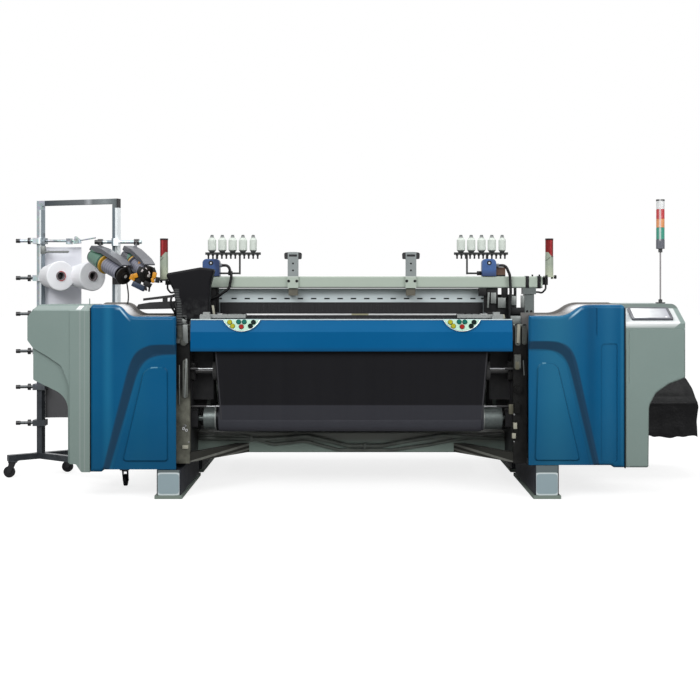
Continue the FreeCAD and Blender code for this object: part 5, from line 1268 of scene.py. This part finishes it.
# stiff hoses: radius and the points that each one passes
hoses = {
    "selectorPipeHigh": (0.007, [(-1.086, -0.66, 1.213), (-1.102, -0.7, 1.232), (-1.122, -0.72, 1.2),
                                 (-1.118, -0.712, 1.15), (-1.1, -0.69, 1.12), (-1.098, -0.66, 1.098)]),
    "selectorPipeLow": (0.006, [(-1.09, -0.655, 1.176), (-1.096, -0.706, 1.18), (-1.092, -0.712, 1.15),
                                (-1.078, -0.7, 1.12), (-1.08, -0.66, 1.098)]),
    "feederLead": (0.0045, [(-1.42, -0.575, 1.3), (-1.412, -0.59, 1.27), (-1.404, -0.6, 1.215),
                            (-1.41, -0.6, 1.16), (-1.43, -0.6, 1.12)])}


def buildHose(name, points, radius, finish):
    curve = bpy.data.curves.new(name, "CURVE")
    curve.dimensions = "3D"
    curve.bevel_depth = radius
    curve.bevel_resolution = 3
    curve.resolution_u = 6
    line = curve.splines.new("NURBS")
    line.points.add(len(points) - 1)
    for point, spot in zip(line.points, points):
        point.co = (*spot, 1)
    line.order_u = 3
    line.use_endpoint_u = True
    curve.materials.append(finish.material)
    addPiece(name, curve)


for name, (radius, points) in hoses.items():
    buildHose(name, points, radius, rubber)
print("hardware built")


# stage, light and camera
stageSettings = {"floorTone": 0.32, "floorGlow": 0.8, "fadeStart": 2.4, "fadeEnd": 4.6, "floorHalf": 40.0,
                 "floorDrop": 0.0005, "worldLevel": 0.44,
                 # each light: place, target, size and power
                 "lights": {"keyLight": ((-3.0, -6.0, 4.6), (0, 0, 0.9), (4.0, 3.0), 300),
                            "fillLight": ((4.5, -5.5, 3.4), (0, 0, 0.8), (4.0, 3.0), 215),
                            "topLight": ((0, 0.2, 5.5), (0, 0, 0.5), (6.0, 4.0), 150)}}


def buildFloor(s):
    mesh = bmesh.new()
    bmesh.ops.create_grid(mesh, x_segments=1, y_segments=1, size=s["floorHalf"])
    data = bpy.data.meshes.new("studioFloor")
    mesh.to_mesh(data)
    mesh.free()
    floor = addPiece("studioFloor", data, None)
    floor.location.z = -s["floorDrop"]
    paint = Paint("studioFloorFinish", Roughness=0.95, Specular_IOR_Level=0.1, Emission_Strength=1.0)
    x, y, _ = paint.place
    far = (x * x * 0.55 + (y + 0.2) * (y + 0.2)).power(0.5)
    fade = far.spread(s["fadeStart"], s["fadeEnd"])
    fade = fade * fade * (3 - fade * 2)
    seen = paint.node("ShaderNodeLightPath").out(0)
    glow = fade.mix((s["floorGlow"],) * 3, (1.0, 1.0, 1.0))
    paint.set(Base_Color=fade.mix((s["floorTone"],) * 3, (0.0, 0.0, 0.0)),
              Emission_Color=seen.mix((0, 0, 0), glow))
    data.materials.append(paint.material)


def buildWorld(s):
    # white where it is seen, straight or in a gloss, and dimmer as a light
    world = bpy.data.worlds.new("studioWorld")
    bpy.context.scene.world = world
    world.use_nodes = True
    sky = Tree(world.node_tree, "Background")
    path = sky.node("ShaderNodeLightPath")
    seen = path.out("Is Camera Ray").most(path.out("Is Glossy Ray")).most(path.out("Is Transmission Ray"))
    sky.set(Color=(1, 1, 1, 1), Strength=seen.spread(0.0, 1.0, s["worldLevel"], 1.0))


buildFloor(stageSettings)
buildWorld(stageSettings)
for name, (spot, target, size, power) in stageSettings["lights"].items():
    lamp = bpy.data.lights.new(name, "AREA")
    lamp.shape = "RECTANGLE"
    lamp.size, lamp.size_y = size
    lamp.energy = power
    holder = addPiece(name, lamp, None)
    holder.location = spot
    holder.rotation_euler = (Vector(target) - Vector(spot)).to_track_quat("-Z", "Y").to_euler()

lens = bpy.data.cameras.new("photoCamera")
lens.lens = 60.0
lens.sensor_width = 36.0
lens.shift_x = -0.0021
lens.shift_y = -0.0914
camera = addPiece("photoCamera", lens, None)
camera.location = (0, -7.95, 1.28)
camera.rotation_euler = (math.radians(90), 0, 0)
bpy.context.scene.camera = camera
bpy.context.scene.view_settings.view_transform = "Standard"
print("stage ready")
